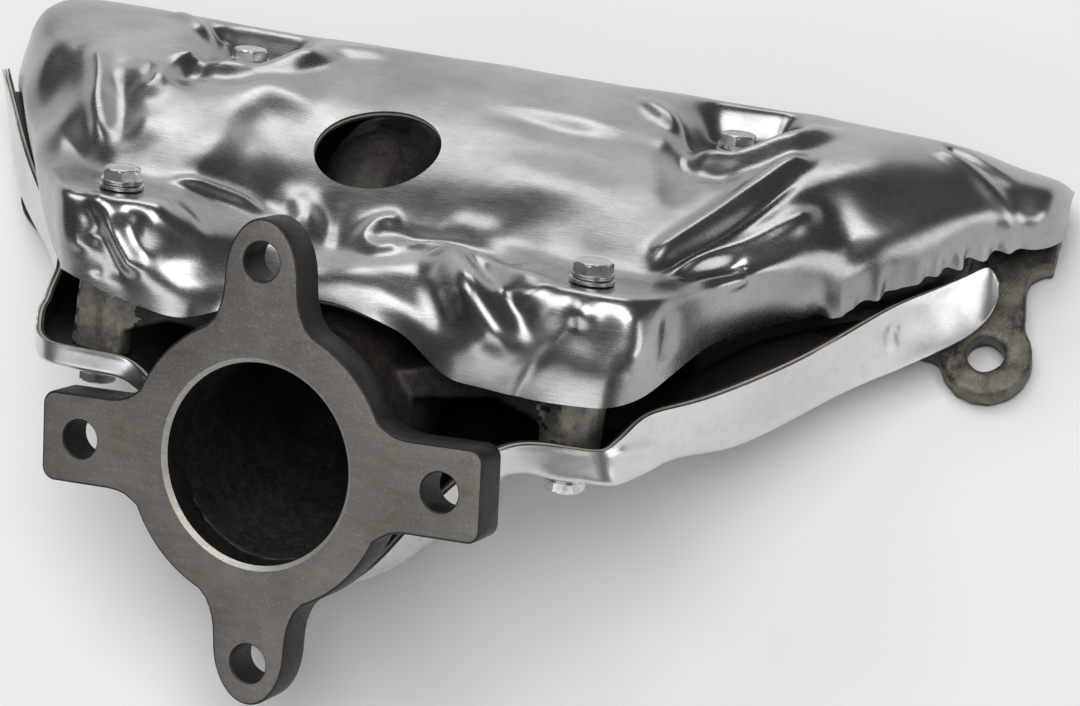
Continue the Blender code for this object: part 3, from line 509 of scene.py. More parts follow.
def shape_upper_shield(grid):
    """Dents, scalloped right hem and crumpled surface."""
    normals = grid_normals(grid)
    points = grid.reshape(-1, 3)
    amount = upper_dents(points)
    amount += 0.5 * crumple(points, 26.0, 1) + 0.10 * crumple(points, 10.0, 2)
    amount = amount.reshape(grid.shape[:2])
    rows = np.arange(grid.shape[1])
    to_hem = grid.shape[1] - 1 - rows
    x = grid[..., 0]
    torn = ease(*HEM_IN, x) * (1 - ease(*HEM_OUT, x))
    run = np.stack([x[:, 0], 0 * x[:, 0], 0 * x[:, 0]], axis=1)
    wave = np.sin(2 * math.pi * (x[:, 0] + 7.0 * crumple(run, 15.0, 3)) / SCALLOP)
    wave = wave * (0.65 + 0.9 * crumple(run, 11.0, 10))
    wave = wave + 0.5 * crumple(run, 3.0, 11) + 0.45 * crumple(run, 1.7, 12)
    near_hem = np.exp(-((to_hem / SCALLOP_ROWS) ** 2))
    amount += torn * wave[:, None] * near_hem[None, :] * SCALLOP_HEIGHT
    columns = np.arange(grid.shape[0])
    ends = ease(0, 8, columns)[:, None], ease(0, 8, columns[::-1])[:, None]
    edges = ease(0, 6, rows) * ends[0] * ends[1]
    shaped = grid + normals * (amount * (0.25 + 0.75 * edges))[..., None]
    # the hem's own edge rises and falls with the scallops
    last = shaped[:, -1] - shaped[:, -8]
    last /= np.linalg.norm(last, axis=1)[:, None]
    rise = np.clip(wave, -1, 1)[:, None] * torn * np.exp(-((to_hem / HEM_RISE_ROWS) ** 2))[None, :]
    shaped += rise[..., None] * last[:, None, :] * HEM_RISE
    shaped = flatten_seats(shaped, UPPER_SEATS, POST_AXIS, 7.0, 5.5)
    return soften(soften(shaped, 0, 0.9), 1, 0.9)


def keep_inside(grid, margin=0.05):
    """Holds the sheet inside the solid model's box."""
    low = np.array(cad_box[0]) / MM + margin
    high = np.array(cad_box[1]) / MM - margin
    return np.clip(grid, low, high)


# Cutters of the shields' holes: how far below the surface they start, and how long they are
SEAT_CUT = (6.0, 10.0)
SENSOR_CUT = (16.0, 32.0)
# The lower shield's layers are pressed together by this share towards its narrow right end, over this x
PRESSED = 0.6
PRESSED_RANGE = (124.0, 146.0)


def seat_cutters(seats, outward):
    below, length = SEAT_CUT
    drill = ((0, SHIELD_HOLE_RADIUS), (length, SHIELD_HOLE_RADIUS))
    made = []
    for name, seat in seats.items():
        base = np.asarray(seat) - outward * below
        made.append(make_object("cut_" + name, *turned(base, outward, drill, 32)))
    return made


def heat_shield(side, grid, seats, outward, mats):
    """The three sheets of one shield, each with its screw holes and the upper ones with the sensor's."""
    normals = grid_normals(grid)
    pressed = PRESSED if side == "lower" else 0.0
    squeeze = 1 - pressed * ease(*PRESSED_RANGE, grid[:, 0, 0])
    for layer, (near, far) in SHIELD_LAYERS.items():
        step = 2 if side == "upper" and layer != "outer" else 1
        name = f"{side}_{layer}_sheet"
        piece = grid_sheet(name, grid, normals, near, far, mats[layer], step, squeeze)
        cutters = seat_cutters(seats, outward)
        if side == "upper":
            below, length = SENSOR_CUT
            base = SENSOR_CENTRE - unit(SENSOR_AXIS) * below
            hole = turned(base, SENSOR_AXIS, ((0, SENSOR_RADIUS), (length, SENSOR_RADIUS)), 96)
            cutters.append(make_object("cut_sensor", *hole))
        cut(piece, cutters)
        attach(piece, "root")
        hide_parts(f"{side}_shield_{layer}")


# ---------------------------------------------------------------- lower heat shield

LOWER_STEPS = 14
LOWER_ROWS = (26, 34, 30)
# The torn stretch of the rim: how it comes in and goes out in x, then its depth and reach
TORN_IN = (-138.0, -130.0)
TORN_OUT = (-113.0, -107.0)
TORN_DEPTH = 2.4
TORN_ROWS = 10.0


def lower_grid():
    """The lower shield's outer surface as a grid of points."""
    table = np.array(LOWER_SECTIONS)
    count = len(table)
    at = np.linspace(0, count - 1, LOWER_STEPS * (count - 1) + 1)
    corners = monotone(range(count), table.reshape(count, -1), at).reshape(len(at), 4, 3)
    rows = np.concatenate([[0], np.cumsum(LOWER_ROWS)])
    steps = np.arange(rows[-1] + 1)
    grid = np.empty((len(at), len(steps), 3))
    for c in range(len(at)):
        for k in range(3):
            grid[c, :, k] = np.interp(steps, rows, corners[c, :, k])
    grid = soften(grid, 1, 3.2)
    return soften(grid, 0, 2.6)


def shape_lower_shield(grid):
    """Creases, a torn rim at the left and a crumpled surface."""
    normals = grid_normals(grid)
    points = grid.reshape(-1, 3)
    amount = 0.4 * crumple(points, 26.0, 4) + 0.12 * crumple(points, 9.0, 5)
    amount += fold(points, [(124, -28, 30), (123, -33, 24), (121, -35, 17)], -0.8, 1.6, 0.2)
    amount += fold(points, [(60, -102, 74), (66, -96, 66), (70, -88, 54)], 1.0, 2.4, 0.3)
    amount += fold(points, [(20, -121, 60), (34, -112, 62), (48, -108, 62)], -0.9, 5.0, 0.3)
    amount = amount.reshape(grid.shape[:2])
    rows = np.arange(grid.shape[1])
    shaped = grid + normals * (amount * ease(0, 5, rows))[..., None]
    # torn rim at the left of the front left pan
    x = grid[:, 0, 0]
    torn = ease(*TORN_IN, x) * (1 - ease(*TORN_OUT, x))
    run = np.stack([x, 0 * x, 0 * x], axis=1)
    jag = np.abs(crumple(run, 2.2, 6)) + 0.6 * np.abs(crumple(run, 5.0, 7))
    down = shaped[:, 8] - shaped[:, 0]
    down /= np.linalg.norm(down, axis=1)[:, None]
    drop = (torn * jag * TORN_DEPTH)[:, None] * np.exp(-((rows / TORN_ROWS) ** 2))[None, :]
    shaped += drop[..., None] * down[:, None, :]
    return flatten_seats(shaped, LOWER_SEATS, POST_AXIS, 10.5, 4.0)


# ---------------------------------------------------------------- casting

CAST_VOXEL = 1.1
MACHINED_BELOW = 1.2
FLANGE_EDGE = 0.7
PLATE_OVERLAP = 3.0
# The block that takes the outlet flange off: half its width, and its height
BLOCK_HALF = 90.0
BLOCK_HEIGHT = 40.0
# The sleeve that takes the rest of the flange off round the neck: radius, start and height; then the neck
SLEEVE = (95.0, 9.7, 9.9)
NECK_KEPT = (34.6, 11.0, 13.0)
# Plugs in the front posts: how far below the upper seat they start, their length and radius
PLUG_BELOW = 4.0
PLUG_LENGTH = 44.0
PLUG_RADIUS = 4.6
# Paler iron: round the front posts, from just above their tops down, and on the right ear
PALE_POST_RADIUS = 10.5
PALE_POST_DEPTH = 50.0
PALE_POST_TOP = 2.0
PALE_EAR_X = 139.0
PALE_EAR_Z = 3.0


def cut_outlet_away(body):
    """Takes the outlet flange off the casting, because it is shown as a piece of its own."""
    across, up = perpendicular(OUTLET_AXIS)
    base = OUTLET_CENTRE - OUTLET_AXIS * (OUTLET_THICK - PLATE_OVERLAP)
    block = [base + across * a * BLOCK_HALF + up * b * BLOCK_HALF for a, b in SQUARE]
    corners = block + [p + OUTLET_AXIS * BLOCK_HEIGHT for p in block]
    cut(body, [make_object("cut_outlet", corners, tube_faces(2, 4))], "EXACT")
    rods = []
    for name, (radius, below, height), sides in (("cut_plate", SLEEVE, 48), ("keep_neck", NECK_KEPT, 64)):
        rod = turned(base - OUTLET_AXIS * below, OUTLET_AXIS, ((0.0, radius), (height, radius)), sides)
        rods.append(make_object(name, *rod))
    sleeve, neck = rods
    cut(sleeve, [neck], "EXACT")
    cut(body, [sleeve], "EXACT")


def fill_front_posts(body):
    """Plugs the front posts' screw holes; this hides a slot of unknown cause in the front left post."""
    plugs = []
    for name in FRONT_POSTS:
        top = np.asarray(UPPER_SEATS[name]) - POST_AXIS * PLUG_BELOW
        profile = ((0, PLUG_RADIUS), (PLUG_LENGTH, PLUG_RADIUS))
        rod = turned(top - POST_AXIS * PLUG_LENGTH, POST_AXIS, profile, 32)
        plugs.append(make_object("plug_" + name, *rod))
    for plug in plugs:
        mod = body.modifiers.new("plug", "BOOLEAN")
        mod.operation = "UNION"
        mod.object = plug
        mod.solver = "EXACT"
    apply_modifiers(body)
    for plug in plugs:
        bpy.data.objects.remove(plug, do_unlink=True)


def round_edges(body):
    """Gives the casting small fillets: an even voxel mesh, then smoothed."""
    remesh = body.modifiers.new("cast", "REMESH")
    remesh.mode = "VOXEL"
    remesh.voxel_size = CAST_VOXEL * MM
    apply_modifiers(body)
    soft = body.modifiers.new("soft", "SMOOTH")
    soft.factor = 0.5
    soft.iterations = 6
    apply_modifiers(body)


def roughen(mesh):
    """Cast grain everywhere but on the machined gasket face."""
    points, normals = np.empty((2, len(mesh.vertices) * 3))
    mesh.vertices.foreach_get("co", points)
    mesh.vertices.foreach_get("normal", normals)
    points = points.reshape(-1, 3) / MM
    normals = normals.reshape(-1, 3)
    machined = points[:, 2] < MACHINED_BELOW
    grain = 0.22 * crumple(points, 7.0, 8) + 0.12 * crumple(points, 2.6, 9)
    points += normals * np.where(machined, 0.0, grain)[:, None]
    mesh.vertices.foreach_set("co", (keep_inside(points) * MM).ravel())


def paint(mesh):
    """Material 1 on the front posts and 2 on the right ear, with ragged borders, and 0 elsewhere."""
    centres = np.empty(len(mesh.polygons) * 3)
    mesh.polygons.foreach_get("center", centres)
    centres = centres.reshape(-1, 3) / MM
    shade = np.zeros(len(centres), np.int32)
    ragged = 4.0 * np.sin(centres[:, 0] * 0.9) * np.sin(centres[:, 1] * 0.7 + centres[:, 2] * 1.1)
    for name in FRONT_POSTS:
        off = centres - np.asarray(UPPER_SEATS[name])
        depth = off @ POST_AXIS
        radius = np.linalg.norm(off - depth[:, None] * POST_AXIS, axis=1)
        near = radius + 0.4 * ragged < PALE_POST_RADIUS
        shade[near & (depth > -PALE_POST_DEPTH) & (depth + ragged < PALE_POST_TOP)] = 1
    shade[(centres[:, 0] + ragged > PALE_EAR_X) & (centres[:, 2] > PALE_EAR_Z)] = 2
    mesh.polygons.foreach_set("material_index", shade)


def casting_body(iron, post_iron, ear_iron):
    """The casting without its outlet flange: the solid model's shape with cast fillets and grain."""
    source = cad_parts["manifold_casting"]
    body = bpy.data.objects.new("casting_body", source.data.copy())
    body.data.transform(source.matrix_world)
    bpy.context.scene.collection.objects.link(body)
    cut_outlet_away(body)
    fill_front_posts(body)
    round_edges(body)
    mesh = body.data
    roughen(mesh)
    mesh.materials.clear()
    for skin in (iron, post_iron, ear_iron):
        mesh.materials.append(skin)
    paint(mesh)
    mesh.shade_smooth()
    mesh.update()
    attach(body, "root")
    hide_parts("manifold_casting")


def arc(x, y, radius, start, end, steps):
    turns = np.radians(np.linspace(start, end, steps + 1))
    return [(x + radius * math.cos(t), y + radius * math.sin(t)) for t in turns]


def outlet_outline():
    """Outline of the outlet flange: a disc with tapered ears above and below, square ears at the sides."""
    half = arc(65.0, -9.0, 4.0, -90, 0, 8)
    half += arc(65.0, 9.0, 4.0, 0, 90, 8)
    root = [(50.0, 13.0), (47.0, 13.0), (44.0, 13.3), (41.6, 14.0), (39.4, 15.3)]
    half += root
    half += arc(0.0, 0.0, OUTLET_BODY_RADIUS, 24, 66, 24)
    flank = [(14.4, 39.8), (13.2, 42.2), (12.3, 44.8), (11.8, 47.5)]
    half += flank
    half += [(x, 51.5 + y * 1.48) for x, y in arc(0.0, 0.0, 11.5, 0, 180, 32)]
    half += [(-x, y) for x, y in reversed(flank)]
    half += arc(0.0, 0.0, OUTLET_BODY_RADIUS, 114, 156, 24)
    half += [(-x, y) for x, y in reversed(root)]
    return np.array(half + [(-x, -y) for x, y in half])


def inset(outline, amount):
    """The outline moved inward."""
    along = np.roll(outline, -1, axis=0) - np.roll(outline, 1, axis=0)
    along /= np.linalg.norm(along, axis=1)[:, None]
    return outline + amount * np.stack([-along[:, 1], along[:, 0]], axis=1)


def outlet_flange(iron, machined, chamfer):
    """The round four-eared flange plate with eased edges, a chamfered bore and four holes."""
    outline = outlet_outline()
    up = -OUTLET_DOWN
    edge = FLANGE_EDGE
    levels = [(-OUTLET_THICK, edge), (-OUTLET_THICK + 0.3 * edge, 0.3 * edge), (-OUTLET_THICK + edge, 0.0)]
    levels += [(-edge, 0.0), (-0.3 * edge, 0.3 * edge), (0.0, edge)]
    points = []
    for height, amount in levels:
        for a, b in inset(outline, amount):
            points.append(OUTLET_CENTRE + a * OUTLET_ACROSS + b * up + height * OUTLET_AXIS)
    plate = make_object("outlet_flange", points, tube_faces(len(levels), len(outline)))
    deep = OUTLET_THICK + 1.0
    profile = ((-deep, OUTLET_BORE), (-1.3, OUTLET_BORE), (0.2, OUTLET_BORE + 1.5), (1.0, OUTLET_BORE + 2.3))
    cutters = [make_object("cut_bore", *turned(OUTLET_CENTRE, OUTLET_AXIS, profile, 128))]
    for number in range(4):
        turn = math.radians(90.0 * number)
        offset = OUTLET_PITCH_RADIUS * (math.cos(turn) * OUTLET_ACROSS + math.sin(turn) * OUTLET_DOWN)
        r = OUTLET_HOLE_RADIUS
        profile = ((-deep, r + 0.5), (-OUTLET_THICK + 0.3, r), (-0.4, r), (0.2, r + 0.6), (1.0, r + 1.4))
        hole = turned(OUTLET_CENTRE + offset, OUTLET_AXIS, profile, 64)
        cutters.append(make_object(f"cut_{number}", *hole))
    cut(plate, cutters, "EXACT")
    plate.data.shade_smooth()
    plate.data.set_sharp_from_angle(angle=math.radians(30))
    plate.data.materials.clear()
    for skin in (iron, machined, chamfer):
        plate.data.materials.append(skin)
    face = Vector(OUTLET_AXIS)
    middle = Vector(OUTLET_CENTRE * MM)
    for polygon in plate.data.polygons:
        lean = polygon.normal.dot(face)
        from_axis = (polygon.center - middle).cross(face).length / MM
        if lean > 0.98:
            polygon.material_index = 1
        elif lean > 0.3 and from_axis < OUTLET_BORE + 3.0:
            polygon.material_index = 2
    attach(plate, "root")
    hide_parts("manifold_casting")


# ---------------------------------------------------------------- screws

# Height and radius round a washer, with eased edges
WASHER_RINGS = ((0.0, SHIELD_HOLE_RADIUS), (0.0, 6.2), (0.15, 6.4), (1.05, 6.4), (1.2, 6.2))
WASHER_RINGS += ((1.2, SHIELD_HOLE_RADIUS),)
WASHER_SIDES = 48
HEX_FLATS = 10.0
SCREW_SIDES = 96
SCREW_HEIGHT = 1.8
# How far a screw reaches into its post, and where the collector's passage lies behind it
SCREW_REACH = 14.0
SHORT_SCREW_REACH = 6.0
# Above the washer: height and radius of the round collar, then of the hexagon with its rounded top
COLLAR_RINGS = ((0.0, 3.0), (0.0, 5.8), (0.2, 6.0), (0.55, 6.0), (0.62, 5.75), (0.72, 6.0))
COLLAR_RINGS += ((1.05, 6.0), (1.2, 5.85))
HEX_RINGS = ((1.2, 9.0), (3.3, 6.2), (3.7, 5.75), (4.05, 5.25), (4.3, 4.85), (4.4, 4.55), (4.34, 3.4))


def hex_radius(turn, flats):
    """Distance from the middle of a hexagon to its side in a direction."""
    third = math.pi / 3
    return flats / 2 / math.cos((turn + third / 2) % third - third / 2)


def washer(side, name, seat, outward, mat):
    points, faces = turned(seat + outward * GAP, outward, WASHER_RINGS, WASHER_SIDES)
    # the end caps give way to the wall of the hole
    faces = faces[2:]
    last = WASHER_SIDES * (len(WASHER_RINGS) - 1)
    for i in range(WASHER_SIDES):
        j = (i + 1) % WASHER_SIDES
        faces.append([last + i, last + j, j, i])
    made = make_object(f"{side}_{name}_washer", points, faces, mat, sharp=40)
    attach(made, "root")
    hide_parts(f"{side}_washer_{name}")


def screw(side, name, seat, outward, mat):
    """A screw with a round collar under its hexagon, which is turned by an angle of its own."""
    across, up = perpendicular(outward)
    turn_by = 0.35 + 0.9 * (sum(map(ord, side + name)) % 7)
    base = seat + outward * SCREW_HEIGHT
    short = side == "lower" and name in REAR_POSTS
    length = (SHORT_SCREW_REACH if short else SCREW_REACH) + 3.5
    rings = [(-length, 2.2, False), (-length + 0.8, 3.0, False)]
    rings += [(*ring, False) for ring in COLLAR_RINGS] + [(*ring, True) for ring in HEX_RINGS]
    points = []
    for height, limit, is_hex in rings:
        for i in range(SCREW_SIDES):
            turn = 2 * math.pi * i / SCREW_SIDES
            r = min(limit, hex_radius(turn, HEX_FLATS)) if is_hex else limit
            turn = turn + turn_by
            ray = math.cos(turn) * across + math.sin(turn) * up
            points.append(base + outward * height + r * ray)
    faces = tube_faces(len(rings), SCREW_SIDES)
    made = make_object(f"{side}_{name}_screw", points, faces, mat, sharp=28)
    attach(made, "root")
    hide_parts(f"{side}_screw_{name}")


# ---------------------------------------------------------------- materials


class Surface:
    """A material built from procedural nodes round one Principled shader."""

    def __init__(self, name, metallic, roughness):
        self.material = bpy.data.materials.new(name)
        self.material.use_nodes = True
        self.tree = self.material.node_tree
        self.shader = self.tree.nodes["Principled BSDF"]
        self.shader.inputs["Metallic"].default_value = metallic
        self.shader.inputs["Roughness"].default_value = roughness
        self.coordinates = self.tree.nodes.new("ShaderNodeTexCoord").outputs["Object"]

    def node(self, kind, **inputs):
        made = self.tree.nodes.new(kind)
        for key, value in inputs.items():
            made.inputs[key].default_value = value
        return made

    def link(self, source, target):
        self.tree.links.new(source, target)

    def drive(self, socket, source):
        self.link(source, self.shader.inputs[socket])

    def noise(self, scale, detail, rough, distort=0.0, stretch=None, turn=(0, 0, 0)):
        made = self.node("ShaderNodeTexNoise", Scale=scale, Detail=detail, Roughness=rough)
        made.inputs["Distortion"].default_value = distort
        source = self.coordinates
        if stretch:
            mapping = self.node("ShaderNodeMapping", Scale=stretch, Rotation=turn)
            self.link(source, mapping.inputs["Vector"])
            source = mapping.outputs["Vector"]
        self.link(source, made.inputs["Vector"])
        return made.outputs["Fac"]

    def ramp(self, source, stops):
        made = self.tree.nodes.new("ShaderNodeValToRGB")
        elements = made.color_ramp.elements
        while len(elements) > 1:
            elements.remove(elements[-1])
        elements[0].position, elements[0].color = stops[0][0], self.rgba(stops[0][1])
        for position, value in stops[1:]:
            elements.new(position).color = self.rgba(value)
        self.link(source, made.inputs["Fac"])
        return made.outputs["Color"]

    @staticmethod
    def rgba(value):
        return (value, value, value, 1.0) if isinstance(value, float) else (*value, 1.0)

    def mix(self, first, second, share, kind="MIX"):
        made = self.tree.nodes.new("ShaderNodeMix")
        made.data_type = "RGBA"
        made.blend_type = kind
        for value, socket in ((share, made.inputs[0]), (first, made.inputs[6]), (second, made.inputs[7])):
            if isinstance(value, (float, tuple)):
                socket.default_value = value if socket.type == "VALUE" else self.rgba(value)
            else:
                self.link(value, socket)
        return made.outputs[2]

    def bump(self, heights):
        """Bump nodes in a chain, from (height, strength, distance in millimetres)."""
        normal = None
        for height, strength, distance in heights:
            made = self.node("ShaderNodeBump", Strength=strength, Distance=distance * MM)
            self.link(height, made.inputs["Height"])
            if normal:
                self.link(normal, made.inputs["Normal"])
            normal = made.outputs["Normal"]
        self.drive("Normal", normal)


def rolled_steel(name, dark, light, smooth, rough, streak, turn, soot=0.0):
    """Thin bright sheet with a rolled grain, matter patches, fine scratches and a few stains."""
    s = Surface(name, 1.0, smooth)
    broad = s.noise(22.0, 4.0, 0.6)
    fine = s.noise(260.0, 3.0, 0.6)
    grain = s.noise(120.0, 4.0, 0.7, 0.0, streak, turn)
    lines = s.noise(55.0, 2.0, 0.5, 2.5, (1.0, 6.0, 2.0), (0.6, 0.2, 0.9))
    scratch = s.ramp(lines, [(0.492, 0.0), (0.498, 1.0), (0.504, 0.0)])
    colour = s.mix(dark, light, s.ramp(broad, [(0.35, 0.0), (0.65, 1.0)]))
    colour = s.mix(colour, s.ramp(fine, [(0.25, 0.72), (0.5, 1.0)]), 0.35, "MULTIPLY")
    colour = s.mix(colour, (0.62, 0.60, 0.57), s.mix(0.0, scratch, 0.25), "MULTIPLY")
    if soot:
        stain = s.ramp(s.noise(9.0, 5.0, 0.7), [(0.45, 0.0), (0.7, 1.0)])
        colour = s.mix(colour, (0.42, 0.36, 0.28), s.mix(0.0, stain, soot), "MULTIPLY")
    s.drive("Base Color", colour)
    matte = s.ramp(s.noise(14.0, 5.0, 0.65), [(0.42, 0.0), (0.72, 1.0)])
    level = s.mix(smooth, rough, matte)
    level = s.mix(level, s.ramp(grain, [(0.3, smooth * 0.8), (0.7, rough)]), 0.4)
    s.drive("Roughness", level)
    swell = s.noise(60.0, 3.0, 0.5)
    s.bump([(swell, 0.25, 0.5), (grain, 0.16, 0.12), (fine, 0.12, 0.08), (scratch, -0.25, 0.05)])
    return s.material


def cast_iron(name, dark, light, speck, rough, depth, rust=0.0, patches=35.0):
    """Dark blasted iron: a mottled, pitted skin with bright specks, pitted to depth in millimetres."""
    s = Surface(name, 0.75, rough)
    broad = s.noise(patches, 5.0, 0.65)
    coarse = s.noise(420.0, 4.0, 0.7)
    fine = s.noise(1500.0, 3.0, 0.6)
    colour = s.mix(dark, light, s.ramp(broad, [(0.3, 0.0), (0.7, 1.0)]))
    colour = s.mix(colour, speck, s.ramp(fine, [(0.60, 0.0), (0.74, 0.7)]))
    colour = s.mix(colour, s.ramp(coarse, [(0.3, 0.45), (0.55, 1.0)]), 0.6, "MULTIPLY")
    if rust:
        patch = s.ramp(s.noise(48.0, 6.0, 0.75), [(0.52, 0.0), (0.68, 1.0)])
        colour = s.mix(colour, (0.30, 0.215, 0.11), s.mix(0.0, patch, rust))
    s.drive("Base Color", colour)
    s.drive("Roughness", s.ramp(coarse, [(0.25, rough - 0.12), (0.75, rough + 0.16)]))
    pits = s.noise(160.0, 4.0, 0.6)
    s.bump([(pits, 0.35, depth), (coarse, 0.5, depth * 0.5), (fine, 0.35, depth * 0.2)])
    return s.material


def machined_iron(name, dark, light):
    """The outlet flange's sealing face: fine grained, with bright specks and faint tool marks."""
    s = Surface(name, 0.7, 0.5)
    broad = s.noise(30.0, 5.0, 0.6)
    fine = s.noise(1500.0, 4.0, 0.75)
    marks = s.noise(160.0, 3.0, 0.6, 0.0, (0.25, 3.0, 3.0), (0.0, 0.0, 0.5))
    colour = s.mix(dark, light, s.ramp(broad, [(0.3, 0.0), (0.7, 1.0)]))
    colour = s.mix(colour, (0.46, 0.45, 0.43), s.ramp(fine, [(0.52, 0.0), (0.72, 0.6)]))
    colour = s.mix(colour, s.ramp(marks, [(0.3, 0.7), (0.6, 1.0)]), 0.5, "MULTIPLY")
    stain = s.ramp(s.noise(70.0, 5.0, 0.7), [(0.46, 0.0), (0.70, 1.0)])
    colour = s.mix(colour, (0.80, 0.70, 0.56), s.mix(0.0, stain, 0.5), "MULTIPLY")
    s.drive("Base Color", colour)
    s.drive("Roughness", s.ramp(fine, [(0.3, 0.44), (0.7, 0.62)]))
    s.bump([(marks, 0.12, 0.1), (fine, 0.35, 0.12), (s.noise(300.0, 4.0, 0.6), 0.15, 0.15)])
    return s.material


def plated_steel(name, dark, light, rough):
    """Dull zinc plating, mottled darker and lighter in clouds, with handling marks."""
    s = Surface(name, 1.0, rough)
    cloud = s.noise(240.0, 4.0, 0.65)
    fine = s.noise(1400.0, 3.0, 0.6)
    colour = s.mix(dark, light, s.ramp(cloud, [(0.3, 0.0), (0.62, 1.0)]))
    s.drive("Base Color", colour)
    s.drive("Roughness", s.ramp(cloud, [(0.3, rough + 0.14), (0.7, rough - 0.06)]))
    s.bump([(cloud, 0.2, 0.12), (fine, 0.2, 0.04)])
    return s.material


def insulation():
    """Compressed mineral fibre, pale and fuzzy, brown where it has been hot."""
    s = Surface("insulation", 0.0, 0.95)
    fibres = s.noise(700.0, 5.0, 0.7, 1.5, (1.0, 1.0, 3.0))
    broad = s.noise(30.0, 4.0, 0.6)
    colour = s.mix((0.36, 0.33, 0.28), (0.58, 0.55, 0.49), s.ramp(broad, [(0.3, 0.0), (0.7, 1.0)]))
    colour = s.mix(colour, s.ramp(fibres, [(0.3, 0.6), (0.6, 1.0)]), 0.7, "MULTIPLY")
    s.drive("Base Color", colour)
    s.bump([(fibres, 0.6, 0.25)])
    return s.material


# ---------------------------------------------------------------- floor, light and camera

CAMERA_AT = (0.214517, -0.361808, 0.797543)
CAMERA_RIGHT = (0.95842, 0.24807, -0.14095)
CAMERA_UP = (-0.17408, 0.89989, 0.39986)
CAMERA_BACK = (0.22610, -0.35870, 0.90568)
CAMERA_LENS = 95.2
LIGHT_COLOUR = (1.0, 0.99, 0.97)
# The floor: half its side, and how far it lies below the gasket face
FLOOR_HALF = 3000.0
FLOOR_DROP = 0.1


def camera():
    data = bpy.data.cameras.new("camera")
    data.lens = CAMERA_LENS
    data.sensor_width = 36.0
    made = bpy.data.objects.new("camera", data)
    axes = zip(CAMERA_RIGHT, CAMERA_UP, CAMERA_BACK)
    made.matrix_world = Matrix([(*row, place) for row, place in zip(axes, CAMERA_AT)] + [(0, 0, 0, 1)])
    bpy.context.scene.collection.objects.link(made)
    bpy.context.scene.camera = made


def area_light(name, place, aim, size, radiance):
    """A soft box at a place in metres that shines towards a point, as bright all over as radiance says."""
    data = bpy.data.lights.new(name, "AREA")
    data.shape = "RECTANGLE"
    data.size, data.size_y = size
    data.energy = radiance * math.pi * size[0] * size[1]
    data.color = LIGHT_COLOUR
    made = bpy.data.objects.new(name, data)
    made.location = place
    toward = Vector(aim) - Vector(place)
    made.rotation_euler = toward.to_track_quat("-Z", "Y").to_euler()
    bpy.context.scene.collection.objects.link(made)


def studio():
    world = bpy.data.worlds.new("studio")
    world.use_nodes = True
    background = world.node_tree.nodes["Background"]
    background.inputs["Color"].default_value = (0.92, 0.96, 1.0, 1.0)
    background.inputs["Strength"].default_value = 0.08
    bpy.context.scene.world = world
    area_light("overhead", (0.1, 0.1, 1.9), (0.0, 0.0, 0.0), (1.9, 1.25), 3.5)
    area_light("key", (-0.9, 0.55, 1.15), (0.0, 0.0, 0.03), (0.7, 0.55), 3.2)
    area_light("back_panel", (-0.42, 1.5, 0.34), (0.0, 0.0, 0.05), (0.8, 0.5), 2.6)
    area_light("front_fill", (-0.2, -1.3, 0.75), (0.0, 0.0, 0.03), (1.3, 0.5), 1.9)
    area_light("right_fill", (1.5, -0.4, 0.42), (0.0, 0.0, 0.04), (1.0, 0.6), 2.0)
    bpy.context.scene.view_settings.view_transform = "Standard"
    s = Surface("pale_floor", 0.0, 0.7)
    tone = s.noise(8.0, 3.0, 0.5)
    s.drive("Base Color", s.ramp(tone, [(0.3, (0.93, 0.93, 0.94)), (0.7, (0.95, 0.95, 0.95))]))
    s.bump([(s.noise(900.0, 2.0, 0.5), 0.05, 0.05)])
    corners = [(a * FLOOR_HALF, b * FLOOR_HALF, -FLOOR_DROP) for a, b in SQUARE]
    floor = make_object("floor", corners, [[0, 1, 2, 3]], s.material)


# ---------------------------------------------------------------- the whole scene


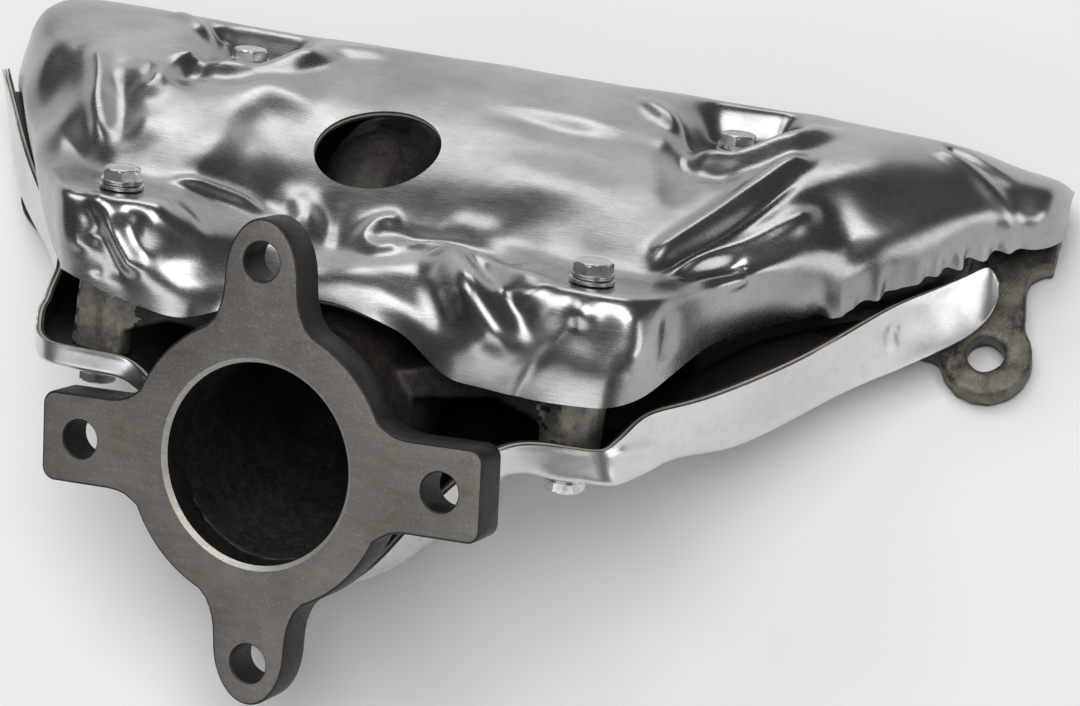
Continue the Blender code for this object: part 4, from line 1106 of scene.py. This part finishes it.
def shield_skins():
    """The layers of the upper and of the lower shield."""
    upper = (0.30, 0.30, 0.312), (0.46, 0.458, 0.45)
    # The inner sheets get a near-black base colour: painted shade for the shadow inside the shields. The
    # soot stains over it are random patches.
    painted_shade_inner = (0.07, 0.066, 0.062), (0.15, 0.14, 0.13)
    lower = (0.64, 0.64, 0.65), (0.78, 0.78, 0.78)
    slant = (0.0, 0.0, 0.1)
    upper = rolled_steel("upper_skin", *upper, 0.24, 0.36, (1.0, 14.0, 8.0), slant, 0.12)
    painted_shade_inner = rolled_steel("inner_skin_painted_shade", *painted_shade_inner, 0.5, 0.68, (1.0, 8.0, 4.0), slant, 0.5)
    lower = rolled_steel("lower_skin", *lower, 0.27, 0.38, (9.0, 9.0, 0.6), (0.0, 0.0, 0.0))
    fibre = insulation()
    return [{"outer": outer, "mat": fibre, "inner": painted_shade_inner} for outer in (upper, lower)]


def iron_skins():
    """The irons of the casting's body, its front posts and its right ear."""
    body = (0.035, 0.033, 0.032), (0.085, 0.080, 0.075), (0.26, 0.25, 0.23)
    post = (0.20, 0.19, 0.17), (0.40, 0.38, 0.34), (0.60, 0.57, 0.50)
    ear = (0.045, 0.042, 0.037), (0.26, 0.243, 0.205), (0.46, 0.43, 0.36)
    return (
        cast_iron("cast_skin", *body, 0.56, 0.5, 0.10),
        cast_iron("post_skin", *post, 0.5, 0.8, 0.12, 150.0),
        cast_iron("ear_skin", *ear, 0.55, 0.8, 0.25, 130.0),
    )


def flange_skins():
    """The irons of the outlet flange's edge, its sealing face and the chamfer of its bore."""
    edge = (0.030, 0.028, 0.027), (0.060, 0.056, 0.053), (0.15, 0.14, 0.13)
    return (
        cast_iron("flange_edge", *edge, 0.5, 0.25),
        machined_iron("machined_iron", (0.175, 0.167, 0.154), (0.27, 0.257, 0.238)),
        machined_iron("bore_chamfer", (0.50, 0.49, 0.46), (0.66, 0.65, 0.62)),
    )


def build():
    camera()
    studio()
    upper_skins, lower_skins = shield_skins()
    surface = keep_inside(shape_upper_shield(upper_grid()))
    heat_shield("upper", surface, UPPER_SEATS, POST_AXIS, upper_skins)
    surface = keep_inside(shape_lower_shield(lower_grid()))
    heat_shield("lower", surface, LOWER_SEATS, -POST_AXIS, lower_skins)
    casting_body(*iron_skins())
    outlet_flange(*flange_skins())
    washer_zinc = plated_steel("washer_plating", (0.46, 0.45, 0.42), (0.70, 0.69, 0.66), 0.28)
    screw_zinc = plated_steel("screw_plating", (0.42, 0.43, 0.44), (0.68, 0.69, 0.70), 0.28)
    sides = (("upper", UPPER_SEATS, POST_AXIS), ("lower", LOWER_SEATS, -POST_AXIS))
    for side, seats, outward in sides:
        for name, seat in seats.items():
            washer(side, name, np.asarray(seat), outward, washer_zinc)
            screw(side, name, np.asarray(seat), outward, screw_zinc)


build()
bpy.context.view_layer.update()
